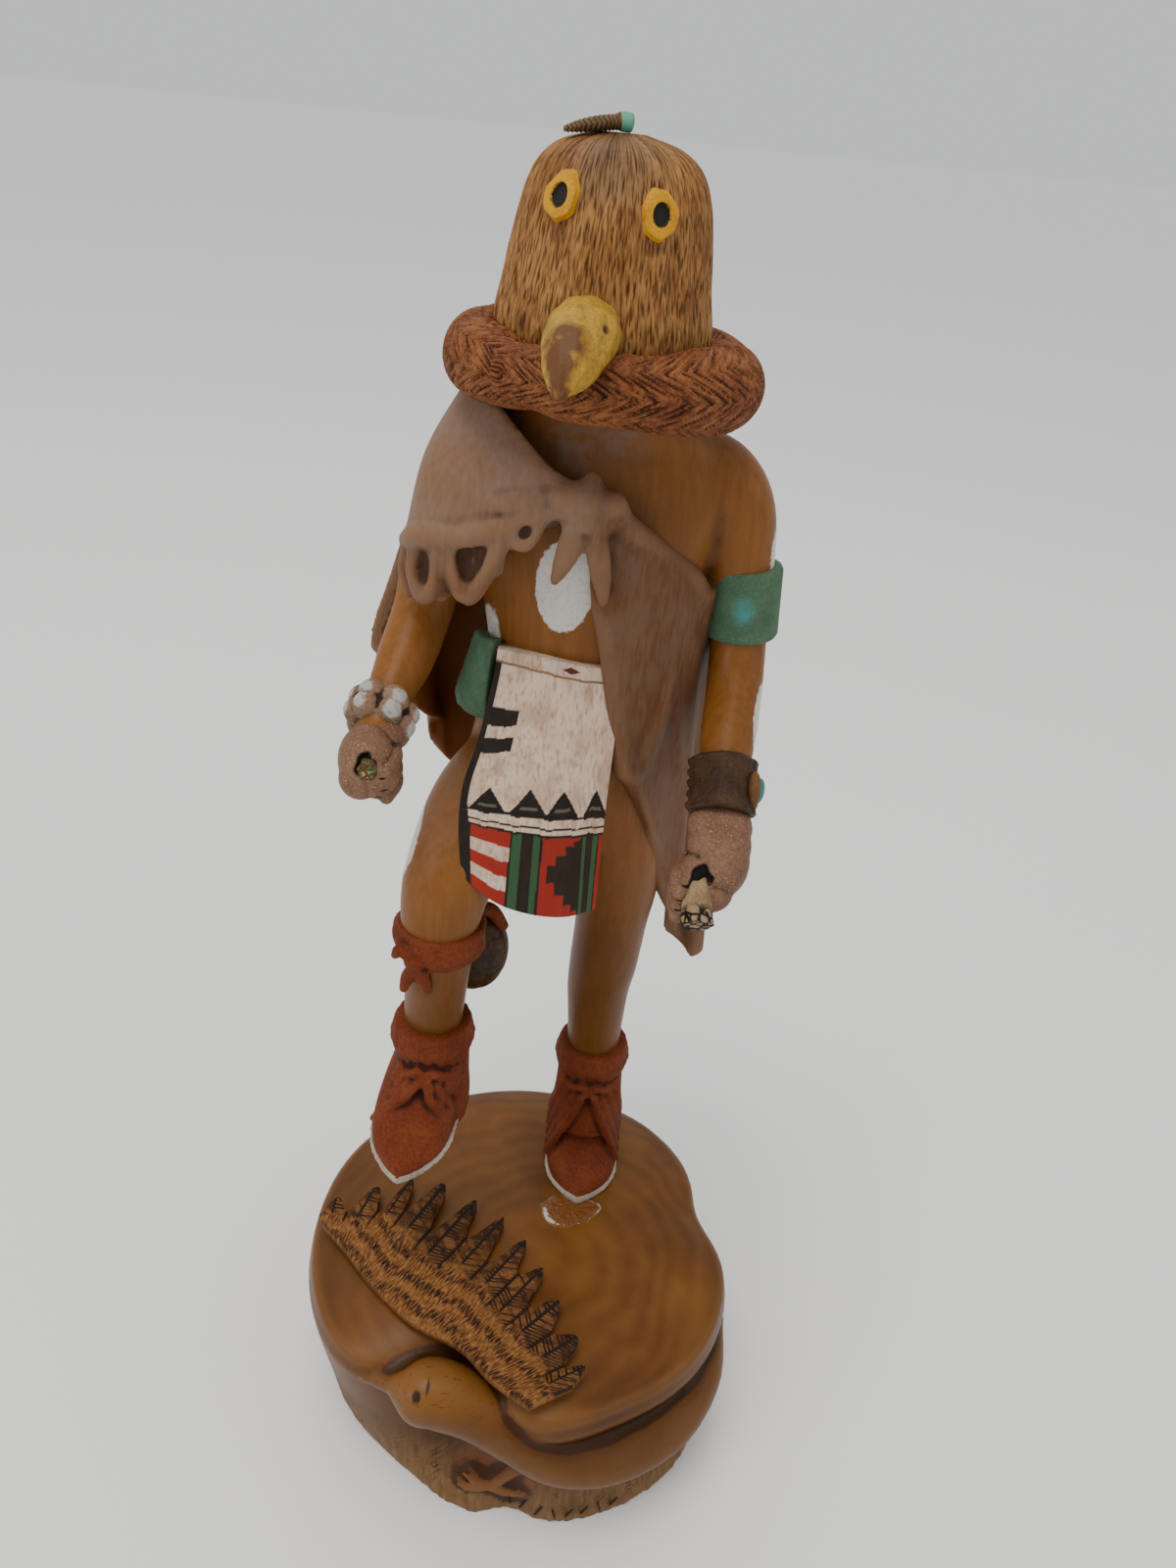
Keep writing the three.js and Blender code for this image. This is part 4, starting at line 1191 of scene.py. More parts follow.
def kilt():
    mesh, flat = sheet("kilt", 185, 260)
    u, v = flat[:, 0] + 0.5, 0.5 - flat[:, 1]
    seam = 0.35 * np.exp(-((u - 0.47 + 0.06 * v) / 0.012) ** 2) * smooth_step(0.55, 0.4, v)
    folds = 0.25 * np.sin(u * 14) * smooth_step(0.1, 0.3, v) + seam
    belt = -0.7 * smooth_step(BELT_SHARE + 0.008, BELT_SHARE - 0.008, v)
    groove = -0.35 * np.exp(-((v - 0.708) / 0.006) ** 2)
    out = 1.7 + folds + belt + groove
    spots = hung(KILT, u, v)
    spots[:, 1] -= out
    put(mesh, spots)
    bm = bmesh.new()
    bm.from_mesh(mesh)
    shade = bm.verts.layers.float_color.new("pattern")
    bm.verts.ensure_lookup_table()
    colours = kilt_colours(u, v)
    for vert, colour in zip(bm.verts, colours):
        vert[shade] = colour
    bmesh.ops.translate(bm, verts=walls_from_rim(bm), vec=(0, KILT_THICK * MM, -0.3 * MM))
    close_under(bm, mesh)
    piece = shown("kilt", mesh)
    material, tree, shader, place = material_named("chalky kilt paint with sparkle")
    pattern = add(tree, "Attribute", {}, attribute_name="pattern").outputs["Color"]
    dry = noise(tree, place, 0.8, 4, (1, 1, 5))
    light = add(tree, "RGBToBW", {0: pattern}).outputs[0]
    pale = between(tree, light, 0.2, 0.4, 0.08, 1)
    worn = times(tree, between(tree, dry, 0.48, 0.68, 0, 0.55), pale)
    scuffed = blend(tree, worn, pattern, paint("8a6040"))
    stain = between(tree, noise(tree, place, 3, 5, (1.6, 1, 5)), 0.45, 0.7, 0, 0.5)
    stain = times(tree, stain, pale)
    colour = blend(tree, stain, scuffed, paint("8f6646"))
    wood_surface(tree, shader, colour, between(tree, dry, 0.4, 0.7, 0.45, 0.8), dry, 0.1)
    return finish_piece(piece, material, "figure")


kilt()

# %% [markdown]
# ## Things worn
# The sash end, armband, bow guard and bracelet are part of the same billet. Each stands proud of
# the skin with a crisp edge, and its paint stops at that edge.

# %% Sash end and armband


def worn_band(start, end, wide, deep, edge=0.5, lip=None):
    """A band round a limb from one point to another, with eased edges."""
    stops = [(*through([start, end], np.array([share]))[0], wide, deep)
             for share in np.linspace(0, 1, 5)]

    def grow(turn, step):
        eased = -edge * (1 - smooth_step(0, 0.06, step) * smooth_step(1, 0.94, step))
        return eased + (lip(turn, step) if lip else 0)
    return band(stops, 96, 60, grow=grow)


def green_paint():
    material, tree, shader, place, colour = painted_wood(
        "matt green turquoise paint", "243627", "3e5742", "506b51", 0.72, 0.6, 0.12)
    cloudy = times(tree, kept(tree, "glow"), noise(tree, place, 2.5, 4))
    glow = between(tree, cloudy, 0.12, 0.6, 0, 0.75)
    tree.links.new(blend(tree, glow, colour, paint("3b8f8d")), shader.inputs["Base Color"])
    return material


def glow_about(piece, centre, reach):
    """Keeps a glow that is 1 at a centre and fades over a reach."""
    off = np.linalg.norm((placed(piece.data) - centre) / reach, axis=1)
    keep(piece, "glow", np.exp(-off**2))


green = green_paint()
armband = shown("armband", worn_band((42.2, 29, 288.6), (43.6, 28.4, 269.4), 9.9, 9.9))
keep_hollows(armband)
glow_about(armband, (42.4, 19.5, 279), (3.2, 8, 4.2))
finish_piece(armband, green, "figure")
SASH = [
    [(-26.6, 20, 267), (-29, 19, 258), (-31.2, 18, 250), (-30.4, 17, 245.6)],
    [(-24.4, 15.8, 267), (-26.6, 14.2, 258), (-27.6, 12.6, 250), (-26, 12.4, 245)],
    [(-21, 13.4, 267), (-21.6, 12, 258), (-21.8, 10, 250), (-20.6, 10, 244.6)],
]
sash_end = melted("sash_end", [cloth(SASH, 40, 40, 4)], 0.6, 2)
keep_hollows(sash_end)
glow_about(sash_end, (-24, 11, 262), (1.5, 3, 3))
finish_piece(sash_end, green, "figure")

# %% Bow guard
GUARD_FROM, GUARD_TO = np.array([41.9, 3.8, 243.8]), np.array([41.9, -6.8, 233.6])


def bow_guard():
    def lip(turn, step):
        rim = 0.25 * (np.exp(-((step - 0.05) / 0.03) ** 2) + np.exp(-((step - 0.95) / 0.03) ** 2))
        plank = 0.35 * np.cos(4 * turn) + 0.25 * hashed(np.floor(turn * 7))
        lace = 0.9 * hump(turn, 182, 7) * np.abs(np.sin(step * 16))
        chips = 0.25 * hashed(np.floor(turn * 19), np.floor(step * 6))
        return rim + plank + lace + chips - 0.4
    guard = shown("bow_guard", worn_band(GUARD_FROM, GUARD_TO, 8.5, 8.4, 0.4, lip))
    keep_hollows(guard)
    leather = painted_wood("dark brown paint on wood, bow guard", "140b05", "2e1d11", "48321f",
                           0.5, 0.6, 0.15)[0]
    finish_piece(guard, leather, "figure")
    middle = (GUARD_FROM + GUARD_TO) / 2
    oval = lump(middle + (7.4, -2.6, 0.4), (1.9, 4.2, 6.2), 40, 30)
    plate = melted("guard_plate", [oval], 0.5, 2)
    keep_hollows(plate)
    tan = painted_wood("tan paint on wood, guard plate", "301d0d", "5e3e23", "7c5835", 0.6)[0]
    finish_piece(plate, tan, "figure")
    stone = shown("guard_stone", lump(middle + (9.2, -1.2, 0.6), (1.3, 2.4, 3.4), 40, 30))
    keep_hollows(stone)
    keep(stone, "glow", np.ones(len(stone.data.vertices)))
    return finish_piece(stone, green, "figure")


bow_guard()

# %% [markdown]
# ## Bracelet and hands
# The bracelet is a string of rough silvery lumps. Each fist is one block on the real doll, with
# the fingers cut in round a broken rod, and the paint on it is pinkish with a fine sparkle.

# %% Bracelet


def bracelet():
    heading = np.array([-0.18, -0.86, -0.47])
    heading /= np.linalg.norm(heading)
    side = ACROSS - heading * heading[0]
    side /= np.linalg.norm(side)
    front = np.cross(heading, side)
    middle, ring, stones = np.array([-46.8, -1.4, 249.8]), 6.2, 7
    parts, centres = [], []
    for i in range(stones):
        bearing = (i + 0.3 * hashed(i, 4.0)) / stones * FULL_TURN
        outwards = side * math.cos(bearing) + front * math.sin(bearing)
        for row in (-1, 1):
            size = 3.2 + 0.8 * hashed(i, 2.0 + row)
            at = middle + outwards * ring + heading * row * 1.9
            parts.append(lump(at, (size, size * 0.95, size * 1.05), 8, 7))
            centres.append(at + outwards * 1.8)
    piece = melted("bracelet", parts, 0.5, 2)
    spots = placed(piece.data)
    off = np.min([np.linalg.norm(spots - c, axis=1) for c in centres], axis=0)
    keep(piece, "stone", smooth_step(3.1, 1.9, off))
    keep_hollows(piece)
    material, tree, shader, place, colour = painted_wood(
        "silvery stones in tan paste, bracelet", "2e1a0e", "6d5340", "8b705a", 0.6, 0.7, 0.3)
    patchy = times(tree, kept(tree, "stone"), noise(tree, place, 1.6, 3))
    silver = blend(tree, between(tree, patchy, 0.22, 0.42), colour, paint("a4a09c"))
    tree.links.new(silver, shader.inputs["Base Color"])
    return finish_piece(piece, material, "figure")


bracelet()

# %% Hands
RIGHT_HAND = [  # the centre and half sizes of each lump of the block
    ((-48.4, -12.4, 243.2), (7, 9.4, 8.6)), ((-46.4, -6, 247.2), (6.6, 6.4, 5.4)),
    ((-44.8, -14.5, 240.4), (5.2, 7.4, 6.2)), ((-49, -17, 240), (5.4, 5.2, 5.6)),
]
LEFT_HAND = [
    ((42.8, -12.4, 222.6), (7.6, 8.8, 10)), ((41.9, -8.2, 230.4), (8.4, 7.4, 7)),
    ((42.2, -10.4, 226.4), (8.3, 8.2, 7.6)), ((36.2, -16.5, 218.6), (5.4, 6.6, 7.4)),
    ((40.4, -17, 216.4), (6.4, 6.4, 5)),
]
TIP_STEP = 3.7


def finger_tips(start, middle, end):
    """Three bent fingers below each other, each from its knuckle to its tip."""
    tips = []
    for i in range(3):
        drop = np.array([0, 0.5, -TIP_STEP]) * i
        tips.append(limb([(*(np.array(at) + drop), wide) for at, wide in (start, middle, end)],
                         16, 34, 0.16))
    return tips


def hand(name, blocks, tips, hole, hole_half, nails):
    """A closed hand: a smooth block, three fingers at its side and a dark hole for the rod."""
    piece = melted(name, [lump(at, half, 36, 26) for at, half in blocks] + tips, 0.5, 3)
    normals = normals_of(piece.data)
    spots = placed(piece.data)
    turn = np.arctan2(spots[:, 2] - hole[2], spots[:, 0] - hole[0])
    ragged = 1 + 0.1 * np.cos(3 * turn + 1) + 0.06 * np.cos(5 * turn)
    off = np.linalg.norm((spots - hole) / hole_half, axis=1) / ragged
    ink = 1 - off
    for x, y, z, wide in nails:
        reach = (spots - (x, y, z)) / (wide, 2.5, 0.42)
        ink = np.maximum(ink, (1 - np.linalg.norm(reach, axis=1)) * 0.6)
    keep(piece, "ink", ink)
    depth = 1.6 * smooth_step(0, 0.35, 1 - off)
    put(piece.data, spots - normals * depth[:, None])
    keep_hollows(piece)
    return piece


def hand_finish():
    material, tree, shader, place, colour = painted_wood(
        "pinkish paint with mica sparkle, hands", "2e1a0e", "694935", "80604b", 0.62, 0.7, 0.14)
    spark = noise(tree, place, 0.4, 2)
    lit = blend(tree, between(tree, spark, 0.66, 0.72, 0, 0.7), colour, paint("d8c4b2"))
    inked = blend(tree, between(tree, kept(tree, "ink"), 0.06, 0.16), lit, paint("0f0b08"))
    tree.links.new(inked, shader.inputs["Base Color"])
    rough = between(tree, spark, 0.64, 0.7, 0.65, 0.2)
    tree.links.new(rough, shader.inputs["Roughness"])
    return material


def hands():
    material = hand_finish()
    tips = finger_tips(
        ((-42.8, -8, 244.6), 2.2), ((-41.6, -13, 244), 2.3), ((-42.4, -19, 243), 1.8))
    nails = [(-42.8, -20, 242.6, 1.6), (-42.6, -20, 239.4, 1.6), (-44, -20, 237, 1.4)]
    right = hand("right_hand", RIGHT_HAND, tips, (-46.7, -22, 246.2), (3.3, 4, 4.3), nails)
    tips = finger_tips(
        ((34.6, -11, 221.4), 2.4), ((32.4, -16.5, 220), 2.4), ((32.8, -22, 218), 2))
    nails = [(32.6, -23, 217.4, 1.6), (32.6, -23, 214, 1.6), (34, -22, 220.6, 1.4)]
    left = hand("left_hand", LEFT_HAND, tips, (37.4, -22, 222.8), (3.4, 5, 4.2), nails)
    for piece in (right, left):
        finish_piece(piece, material, "figure")


hands()

# %% Rod stubs
RIGHT_STUB = [(-47.7, -10, 243.5, 2.3), (-46.9, -17, 244.3, 2.3), (-46.4, -21.8, 244.7, 2.3)]
LEFT_STUB = [
    (37.6, -10, 221, 3), (37.2, -19, 219, 3.2), (37.3, -25, 215.8, 3.8), (37.6, -28.4, 213.5, 4.1),
]


def stub(name, stops, node, tints):
    """A splintered rod end: facets along it, and a rough break across it. Its five tints are for the
    painted shade in hollows, the middle tone, the light tone, the bare wood and the ink."""
    marks = {}

    def grow(turn, step):
        facet = 0.16 * np.cos(6 * turn)
        line = np.maximum.reduce([hump(turn + 2 * step, b, 9) for b in (20, 95, 150, 235, 300)])
        marks["ink"] = line * smooth_step(0.55, 0.75, step) * (hashed(np.floor(step * 9), 1) > 0.3)
        return facet - 0.3 * marks["ink"]

    piece = shown(name, band(stops, 64, 60, grow=grow))
    spots = placed(piece.data)
    from_end = np.linalg.norm(spots - stops[-1][:3], axis=1) - stops[-1][3]
    tip = smooth_step(1.6, 0, from_end + stops[-1][3] * 0.4)
    heading = np.array(stops[-1][:3]) - stops[-2][:3]
    ragged = (hashed(np.round(spots[:, 0] * 1.6), np.round(spots[:, 2] * 1.6)) - 0.7) * 0.9
    put(piece.data, spots + heading / np.linalg.norm(heading) * (ragged * tip)[:, None])
    keep(piece, "ink", marks["ink"])
    keep(piece, "tip", tip)
    keep(piece, "end", smooth_step(2.6, 0.6, from_end))
    keep_hollows(piece)
    material, tree, shader, place, colour = painted_wood("painted rod, " + name, *tints[:3], 0.65)
    spotty = times(tree, kept(tree, "tip"), noise(tree, place, 1.1, 2, (2, 1, 1)))
    bare = blend(tree, between(tree, spotty, 0.36, 0.46), colour, paint(tints[3]))
    split = add(tree, "TexVoronoi", {"Vector": place, "Scale": 1 / 2.4},
                feature="DISTANCE_TO_EDGE").outputs["Distance"]
    split = times(tree, between(tree, split, 0.2, 0.08), kept(tree, "end"))
    cracked = blend(tree, split, bare, paint(tints[4]))
    inked = blend(tree, between(tree, kept(tree, "ink"), 0.3, 0.6), cracked, paint(tints[4]))
    tree.links.new(inked, shader.inputs["Base Color"])
    return finish_piece(piece, material, node)


stub("right_rod_end", RIGHT_STUB, "right_hand_stub",
     ("1a2218", "3c4d36", "56684a", "a88f62", "5a4024"))
stub("left_rod_end", LEFT_STUB, "left_hand_stub",
     ("4a3822", "7d6649", "a48b6a", "9c8057", "0f0b08"))

# %% [markdown]
# ## Moccasins
# A moccasin has a pointed toe, a white sole edge, a smooth red vamp and a flap that wraps the
# ankle in pleats below a rolled cuff. The shoe is shaped once and turned for each foot.

# %% Moccasin
SHOE = [
    (0, 0.4, 2.4), (3.5, 4.8, 5.2), (9, 9.6, 8.6), (16, 12, 13), (25, 12.2, 19), (35, 11, 24),
    (43, 9.4, 23.6), (47, 6, 20),
]
SOLE = [(-0.6, 0.6), (3, 5.7), (9, 10.7), (16, 12.9), (25, 12.8), (35, 11.4), (43, 9.7), (47.6, 6)]


def turned(spots, drop, swing):
    """Spots in the shoe's own frame, toe lowered by drop and swung about the upright."""
    x, y, z = spots.T
    y, z = y * math.cos(drop) - z * math.sin(drop), y * math.sin(drop) + z * math.cos(drop)
    x, y = x * math.cos(swing) - y * math.sin(swing), x * math.sin(swing) + y * math.cos(swing)
    return np.stack([x, y, z], 1)


def shoe_form(profile, high, sits, drop, swing, toe):
    along = 70

    def shape(turn, run):
        step, spread = flat_ended(run, along)
        at = through(profile, step)
        tall = high(at, step)
        rise = np.maximum(np.sin(turn), 0) ** 0.8
        spots = np.stack([spread * at[:, 1] * np.cos(turn), at[:, 0],
                          sits + np.where(spread > 0, tall * rise, tall / 3)], 1)
        return turned(spots, drop, swing) + toe
    return moulded(64, along, shape)


PLEAT_STEPS = np.array([(2.6, 0.9, 0), (2.2, 1.4, 0.4), (1, 2.6, 1), (0, 3, 1)])


def boot_wrap(at, lean, sway, edge):
    """The ankle, the pleats that fan from the bow to the sole on each side, and the rolled cuff."""
    x, y, z = at
    shaft = [(x, y - 3.2 * lean, z - 31, 11.2, 11.6), (x, y - 1.6 * lean, z - 22, 11.4, 12),
             (x, y - lean, z - 14, 10.9, 11.6), (x, y, z - 4, 10.6, 11.2)]

    def pleat(turn, step):
        crease = 0.55 * np.abs(np.sin(turn * 9 + 0.8 * np.sin(step * 3))) ** 0.6
        return crease * smooth_step(0, 0.15, step) * (1 - hump(turn, -90, 50))
    parts = [band(shaft, 120, 60, grow=pleat)]
    for side in (-1, 1):
        for k in range(5):
            line = np.array(edge) + PLEAT_STEPS * k + np.array([(0, 0.12 * k * k, 0)])
            line[:, 0] = np.minimum(line[:, 0], (9.8, 10.4, 11.6, 12.6)) * side
            line[:, 0] += np.array([0, 0.45, 0.65, 1]) * sway * (1 - 0.22 * k)
            line[:, :2] *= 1 + 0.009 * sway * k
            widths = (1.1, 1.4, 1.5, 1.3)
            stops = [(*spot, wide) for spot, wide in zip(line + at, widths)]
            parts.append(limb(stops, 14, 40, 0.12))
        bow = [(x, y - 12.8, z - 6.4, 1.1), (x + 3.2 * side, y - 13.2, z - 5.8, 1.8, 1.3),
               (x + 5.6 * side, y - 11.6, z - 7.6, 1)]
        end = [(x, y - 12.8, z - 7, 1), (x + 2 * side, y - 13.2, z - 10.4, 1.1),
               (x + 2.6 * side, y - 12.8, z - 13.6, 0.7)]
        parts += [limb(bow, 16, 30), limb(end, 14, 26)]
    cuff = []
    for share in np.linspace(0, 1, 5):
        cuff.append((x, y, z - 6.5 + 12 * share, 11.2 + 1.1 * math.sin(share * math.pi)))

    def roll(turn, step):
        return 0.5 * np.exp(-((step - 0.5) / 0.08) ** 2) + 0.18 * np.sin(turn * 21 + step * 8)
    parts.append(band(cuff, 90, 40, grow=roll))
    parts.append(lump((x, y - 13, z - 6.6), (1.6, 1.4, 1.7), 16, 12))
    return parts


def red_paint():
    material, tree, shader, place, colour = painted_wood(
        "red earth paint, stippled moccasins", "310f04", "5c240c", "713517", 0.75, 0.9, 0.16)
    dots = add(tree, "TexVoronoi", {"Vector": place, "Scale": 1 / 1.1}).outputs["Distance"]
    stipple = between(tree, dots, 0.12, 0.3, 0.5, 0)
    tree.links.new(blend(tree, stipple, colour, paint("4c1c0b")), shader.inputs["Base Color"])
    return material


def sole_paint():
    return painted_wood("dry white paint, sole edge", "5c4a3a", "887b6d", "aea396",
                        0.8, 0.6, 0.45)[0]


def moccasins():
    red, white = red_paint(), sole_paint()
    # the name, the toe's place, how far the toe is lowered and swung, the ankle's place, how far
    # the shaft leans, how far the pleats sway, and the line of the first pleat
    feet = [
        ("standing", (17.2, 11.4, PLINTH_TOP), 0.0, -0.02, (17.3, 36, 110), 0.0, 0,
         [(0.8, -12.2, -7), (4.2, -12, -17.6), (8.8, -9.6, -31.7), (12.4, -6.4, -44)]),
        ("raised", (-37.3, -29.6, 111.2), 0.28, -0.1, (-32.1, -0.5, 145.5), 0.8, -4,
         [(1, -13.8, -7.4), (3.4, -15.2, -13.2), (7.4, -15, -17.6), (12, -10.2, -28.8)]),
    ]
    for name, toe, drop, swing, ankle, lean, sway, edge in feet:
        upper = shoe_form(SHOE, lambda at, step: at[:, 2] - 1.2, 1.2, drop, swing, toe)
        boot = melted(name + "_moccasin", [upper, *boot_wrap(ankle, lean, sway, edge)], 0.75, 2)
        keep_hollows(boot, 2, 0.8)
        finish_piece(boot, red, "figure")
        sole = melted(name + "_sole", [shoe_form(
            SOLE, lambda at, step: 2.3 * smooth_step(-0.02, 0.06, step) + 0.5, 0.1,
            drop, swing, toe)], 0.65, 2)
        keep_hollows(sole)
        finish_piece(sole, white, "figure")
    return red


red = moccasins()

# %% [markdown]
# ## Knee garter and shell rattle
# Below the raised knee a red garter is knotted in front, and behind it hangs a tortoise shell
# rattle: a dark dome with its plates cut in.

# %% Garter and rattle


def garter():
    def wrap(turn, step):
        return 0.35 * np.sin(step * 12 + turn) + 0.25 * np.abs(np.sin(turn * 8 + step * 2))
    strap = [(-30.2, -3, 189, 11.7), (-30.3, -3, 186, 12.8), (-30.5, -3, 181, 12.6),
             (-30.6, -3, 178, 10.8)]
    parts = [band(strap, 110, 40, grow=wrap), lump((-35.4, -14.8, 182), (3.1, 2.4, 2.6), 24, 16)]
    for side in (-1, 1):
        parts.append(limb([(-35.4, -14.6, 181, 1.5), (-35.4 + 2 * side, -13.8, 176, 2),
                           (-35.4 + 3.4 * side, -12.6, 170.5, 1.3)], 18, 34))
        parts.append(limb([(-35.4, -14.6, 183, 1.4), (-35.4 + 4 * side, -13.6, 184.6, 2),
                           (-35.4 + 6 * side, -12, 181.5, 1.2)], 18, 34))
    thong = [(-24, 7, 186, 2.2), (-17.6, 9.5, 184, 2.2), (-14, 12, 177, 1.8)]
    parts.append(limb(thong, 18, 34))
    piece = melted("knee_garter", parts, 0.6, 2)
    keep_hollows(piece)
    finish_piece(piece, red, "figure")


def rattle():
    def shape(turn, run):
        plates = 0.35 * (np.abs(np.sin(turn * 3)) ** 0.3 + np.abs(np.sin(run * 9)) ** 0.3)
        ball = on_ball(turn, run)
        return np.array([-22.5, 13, 167]) + ball * (10 + plates[:, None]) * (1, 0.86, 1.34)
    piece = shown("shell_rattle", moulded(120, 90, shape))
    keep_hollows(piece, 2)
    shell = painted_wood("dark stained wood, shell rattle", "0e0804", "24180e", "4c3117",
                         0.45, 1.2, 0.2)[0]
    return finish_piece(piece, shell, "figure")


garter()
rattle()

# %% [markdown]
# ## The plinth
# The plinth is one thick slice of root. Its top is sanded and dips towards a rolled rim, and the
# front wall is carved as a bird lying along the rim, with a claw below its neck.

# %% Plinth form
FOOT, RIM, RIM_HEIGHT = 64.5, 71.0, 48.0


def rim_radius(turn):
    """The plinth's outline at its rim, bulged and hollowed as the root was."""
    wave = 2.2 * hump(turn, 150, 24) + 1.4 * hump(turn, 57, 14) - 6.5 * hump(turn, 17, 13)
    return RIM + wave - 5 * hump(turn, -62, 26) - 22 * hump(turn, -107, 19)


def foot_radius(turn):
    """The plinth's outline where it stands."""
    return (FOOT + 6 * hump(turn, -32, 30) - 6 * hump(turn, -125, 28)
            - 5 * hump(turn, -86, 8))


def plinth_body():
    # each stop: the share of the radius, the share of the height, and the flare from foot to rim
    walls = np.array([(0.985, 0, 0), (1, 0.03, 0.02), (1, 0.36, 0.35), (1, 0.72, 0.75), (1, 1, 1)])
    tops = np.array([0.975, 0.91, 0.74, 0.45, 0])
    wall_share = 0.5
    along = 90

    def shape(turn, run):
        foot, rim = foot_radius(turn), rim_radius(turn)
        undercut = 9 * hump(turn, -40, 46)
        high = RIM_HEIGHT - 3 * hump(turn, -20, 50)
        step = np.clip((run * along - 1) / (along - 1), 0, 1)
        low = through(walls, np.clip(step / wall_share, 0, 1))
        flare = np.clip(low[:, 2], 0, 1)
        radius = low[:, 0] * (foot + (rim - undercut * (1 - flare**4) - foot) * flare)
        height = low[:, 1] * high
        over = np.clip((step - wall_share) / (1 - wall_share), 0, 1)
        share = np.interp(over, np.linspace(0, 1, 6), np.concatenate([[1], tops]))
        edge = high + 6 - 4 * hump(turn, -108, 20)
        dome = PLINTH_TOP - (PLINTH_TOP - edge) * share**4
        dome = np.where(share > 0.975, high + (dome - high) * smooth_step(1, 0.975, share), dome)
        top = step > wall_share
        radius = np.where(top, rim * share, radius)
        height = np.where(top, dome, np.maximum(height, 0))
        radius = np.where(run * along < 0.5, 0, radius)
        height = np.where(run * along < 0.5, 0, height)
        return np.stack([radius * np.cos(turn), radius * np.sin(turn), height], 1)
    return moulded(220, along, shape)


BIRD = [
    (-43, -50.5, 48, 0.9), (-38.5, -51.2, 49.2, 2.3), (-34, -52.2, 50, 3.4), (-30, -53.4, 50.4, 6.2),
    (-22, -54, 50.6, 9.6), (-9, -54.8, 46.6, 9.4, 9.4), (4, -56.6, 40.6, 9.6, 9.6),
    (18, -58.2, 33.4, 8.6, 9.8), (34, -54.2, 30.8, 8, 10.2), (50, -43.2, 30.8, 7.6, 10.2),
    (60.6, -27, 32.6, 7.4, 9), (65, -10, 37, 5.4, 5.6),
]
CLAW = [
    [(2, -59, 17, 1.5), (-4, -60, 15.6, 1.8), (-10.5, -59.6, 19, 1)],
    [(-2, -60, 15, 1.8), (-8, -60.2, 13, 1.5), (-12.4, -59.2, 12.6, 0.9)],
    [(-2, -60, 15, 1.8), (3, -60.2, 12.4, 1.6), (9.5, -59.4, 11, 0.9)],
    [(6, -58.2, 24, 2.2), (2, -59.2, 19, 1.9), (-3, -59.8, 15, 1.7)],
]


def plinth():
    parts = [plinth_body(), limb(BIRD, 64, 150, 0.04, across=UP)]
    parts.append(lump((-23.5, -54.8, 50.4), (9.6, 9, 9.8), 40, 28))
    parts.append(lump((-27, -45, 48), (17, 10, 7), 40, 28))
    parts.append(lump((-8, -49, 48), (15, 9, 6.5), 40, 28))
    parts += [limb(toe, 20, 40, 0.12) for toe in CLAW]
    piece = melted("plinth", parts, 1.2, 3)
    spots = placed(piece.data)
    wall = smooth_step(46, 6, spots[:, 2])
    turn = np.arctan2(spots[:, 1], spots[:, 0])
    facet = hashed(np.floor(turn * 26 + spots[:, 2] * 0.05), np.floor(spots[:, 2] / 9))
    chisel = 0.28 * (facet - 0.5)
    spots[:, :2] *= 1 + (chisel * wall / 70)[:, None]
    spots[:, 2] = np.where(spots[:, 2] < 0.6, 0, spots[:, 2])
    put(piece.data, spots)
    keep_hollows(piece, 3, 0.8)
    keep(piece, "bird", fading(spots, (-21, -56, 50), (24, 12, 13), 2))
    eye_cut = 1 - np.linalg.norm((spots - (-25.6, -60.6, 57.6)) / (1.5, 2.4, 1.9), axis=1)
    brow_cut = 1 - np.linalg.norm((spots - (-22.6, -58.4, 59.6)) / (0.7, 3, 2.4), axis=1)
    keep(piece, "eye", np.maximum(eye_cut, 0.7 * brow_cut))
    keep(piece, "wall", wall)
    # painted shade: the wall darkens below the rim, and the left side is darker above the foot
    rim = smooth_step(59, 48, spots[:, 2]) * smooth_step(4, 26, spots[:, 2])
    left = 0.8 * smooth_step(-34, -62, spots[:, 0]) * smooth_step(10, 30, spots[:, 2])
    keep(piece, "shade_below_rim_and_left", np.maximum(rim, left))
    keep(piece, "claw", fading(spots, (-2, -58, 17), (15, 8, 10), 2))
    return piece


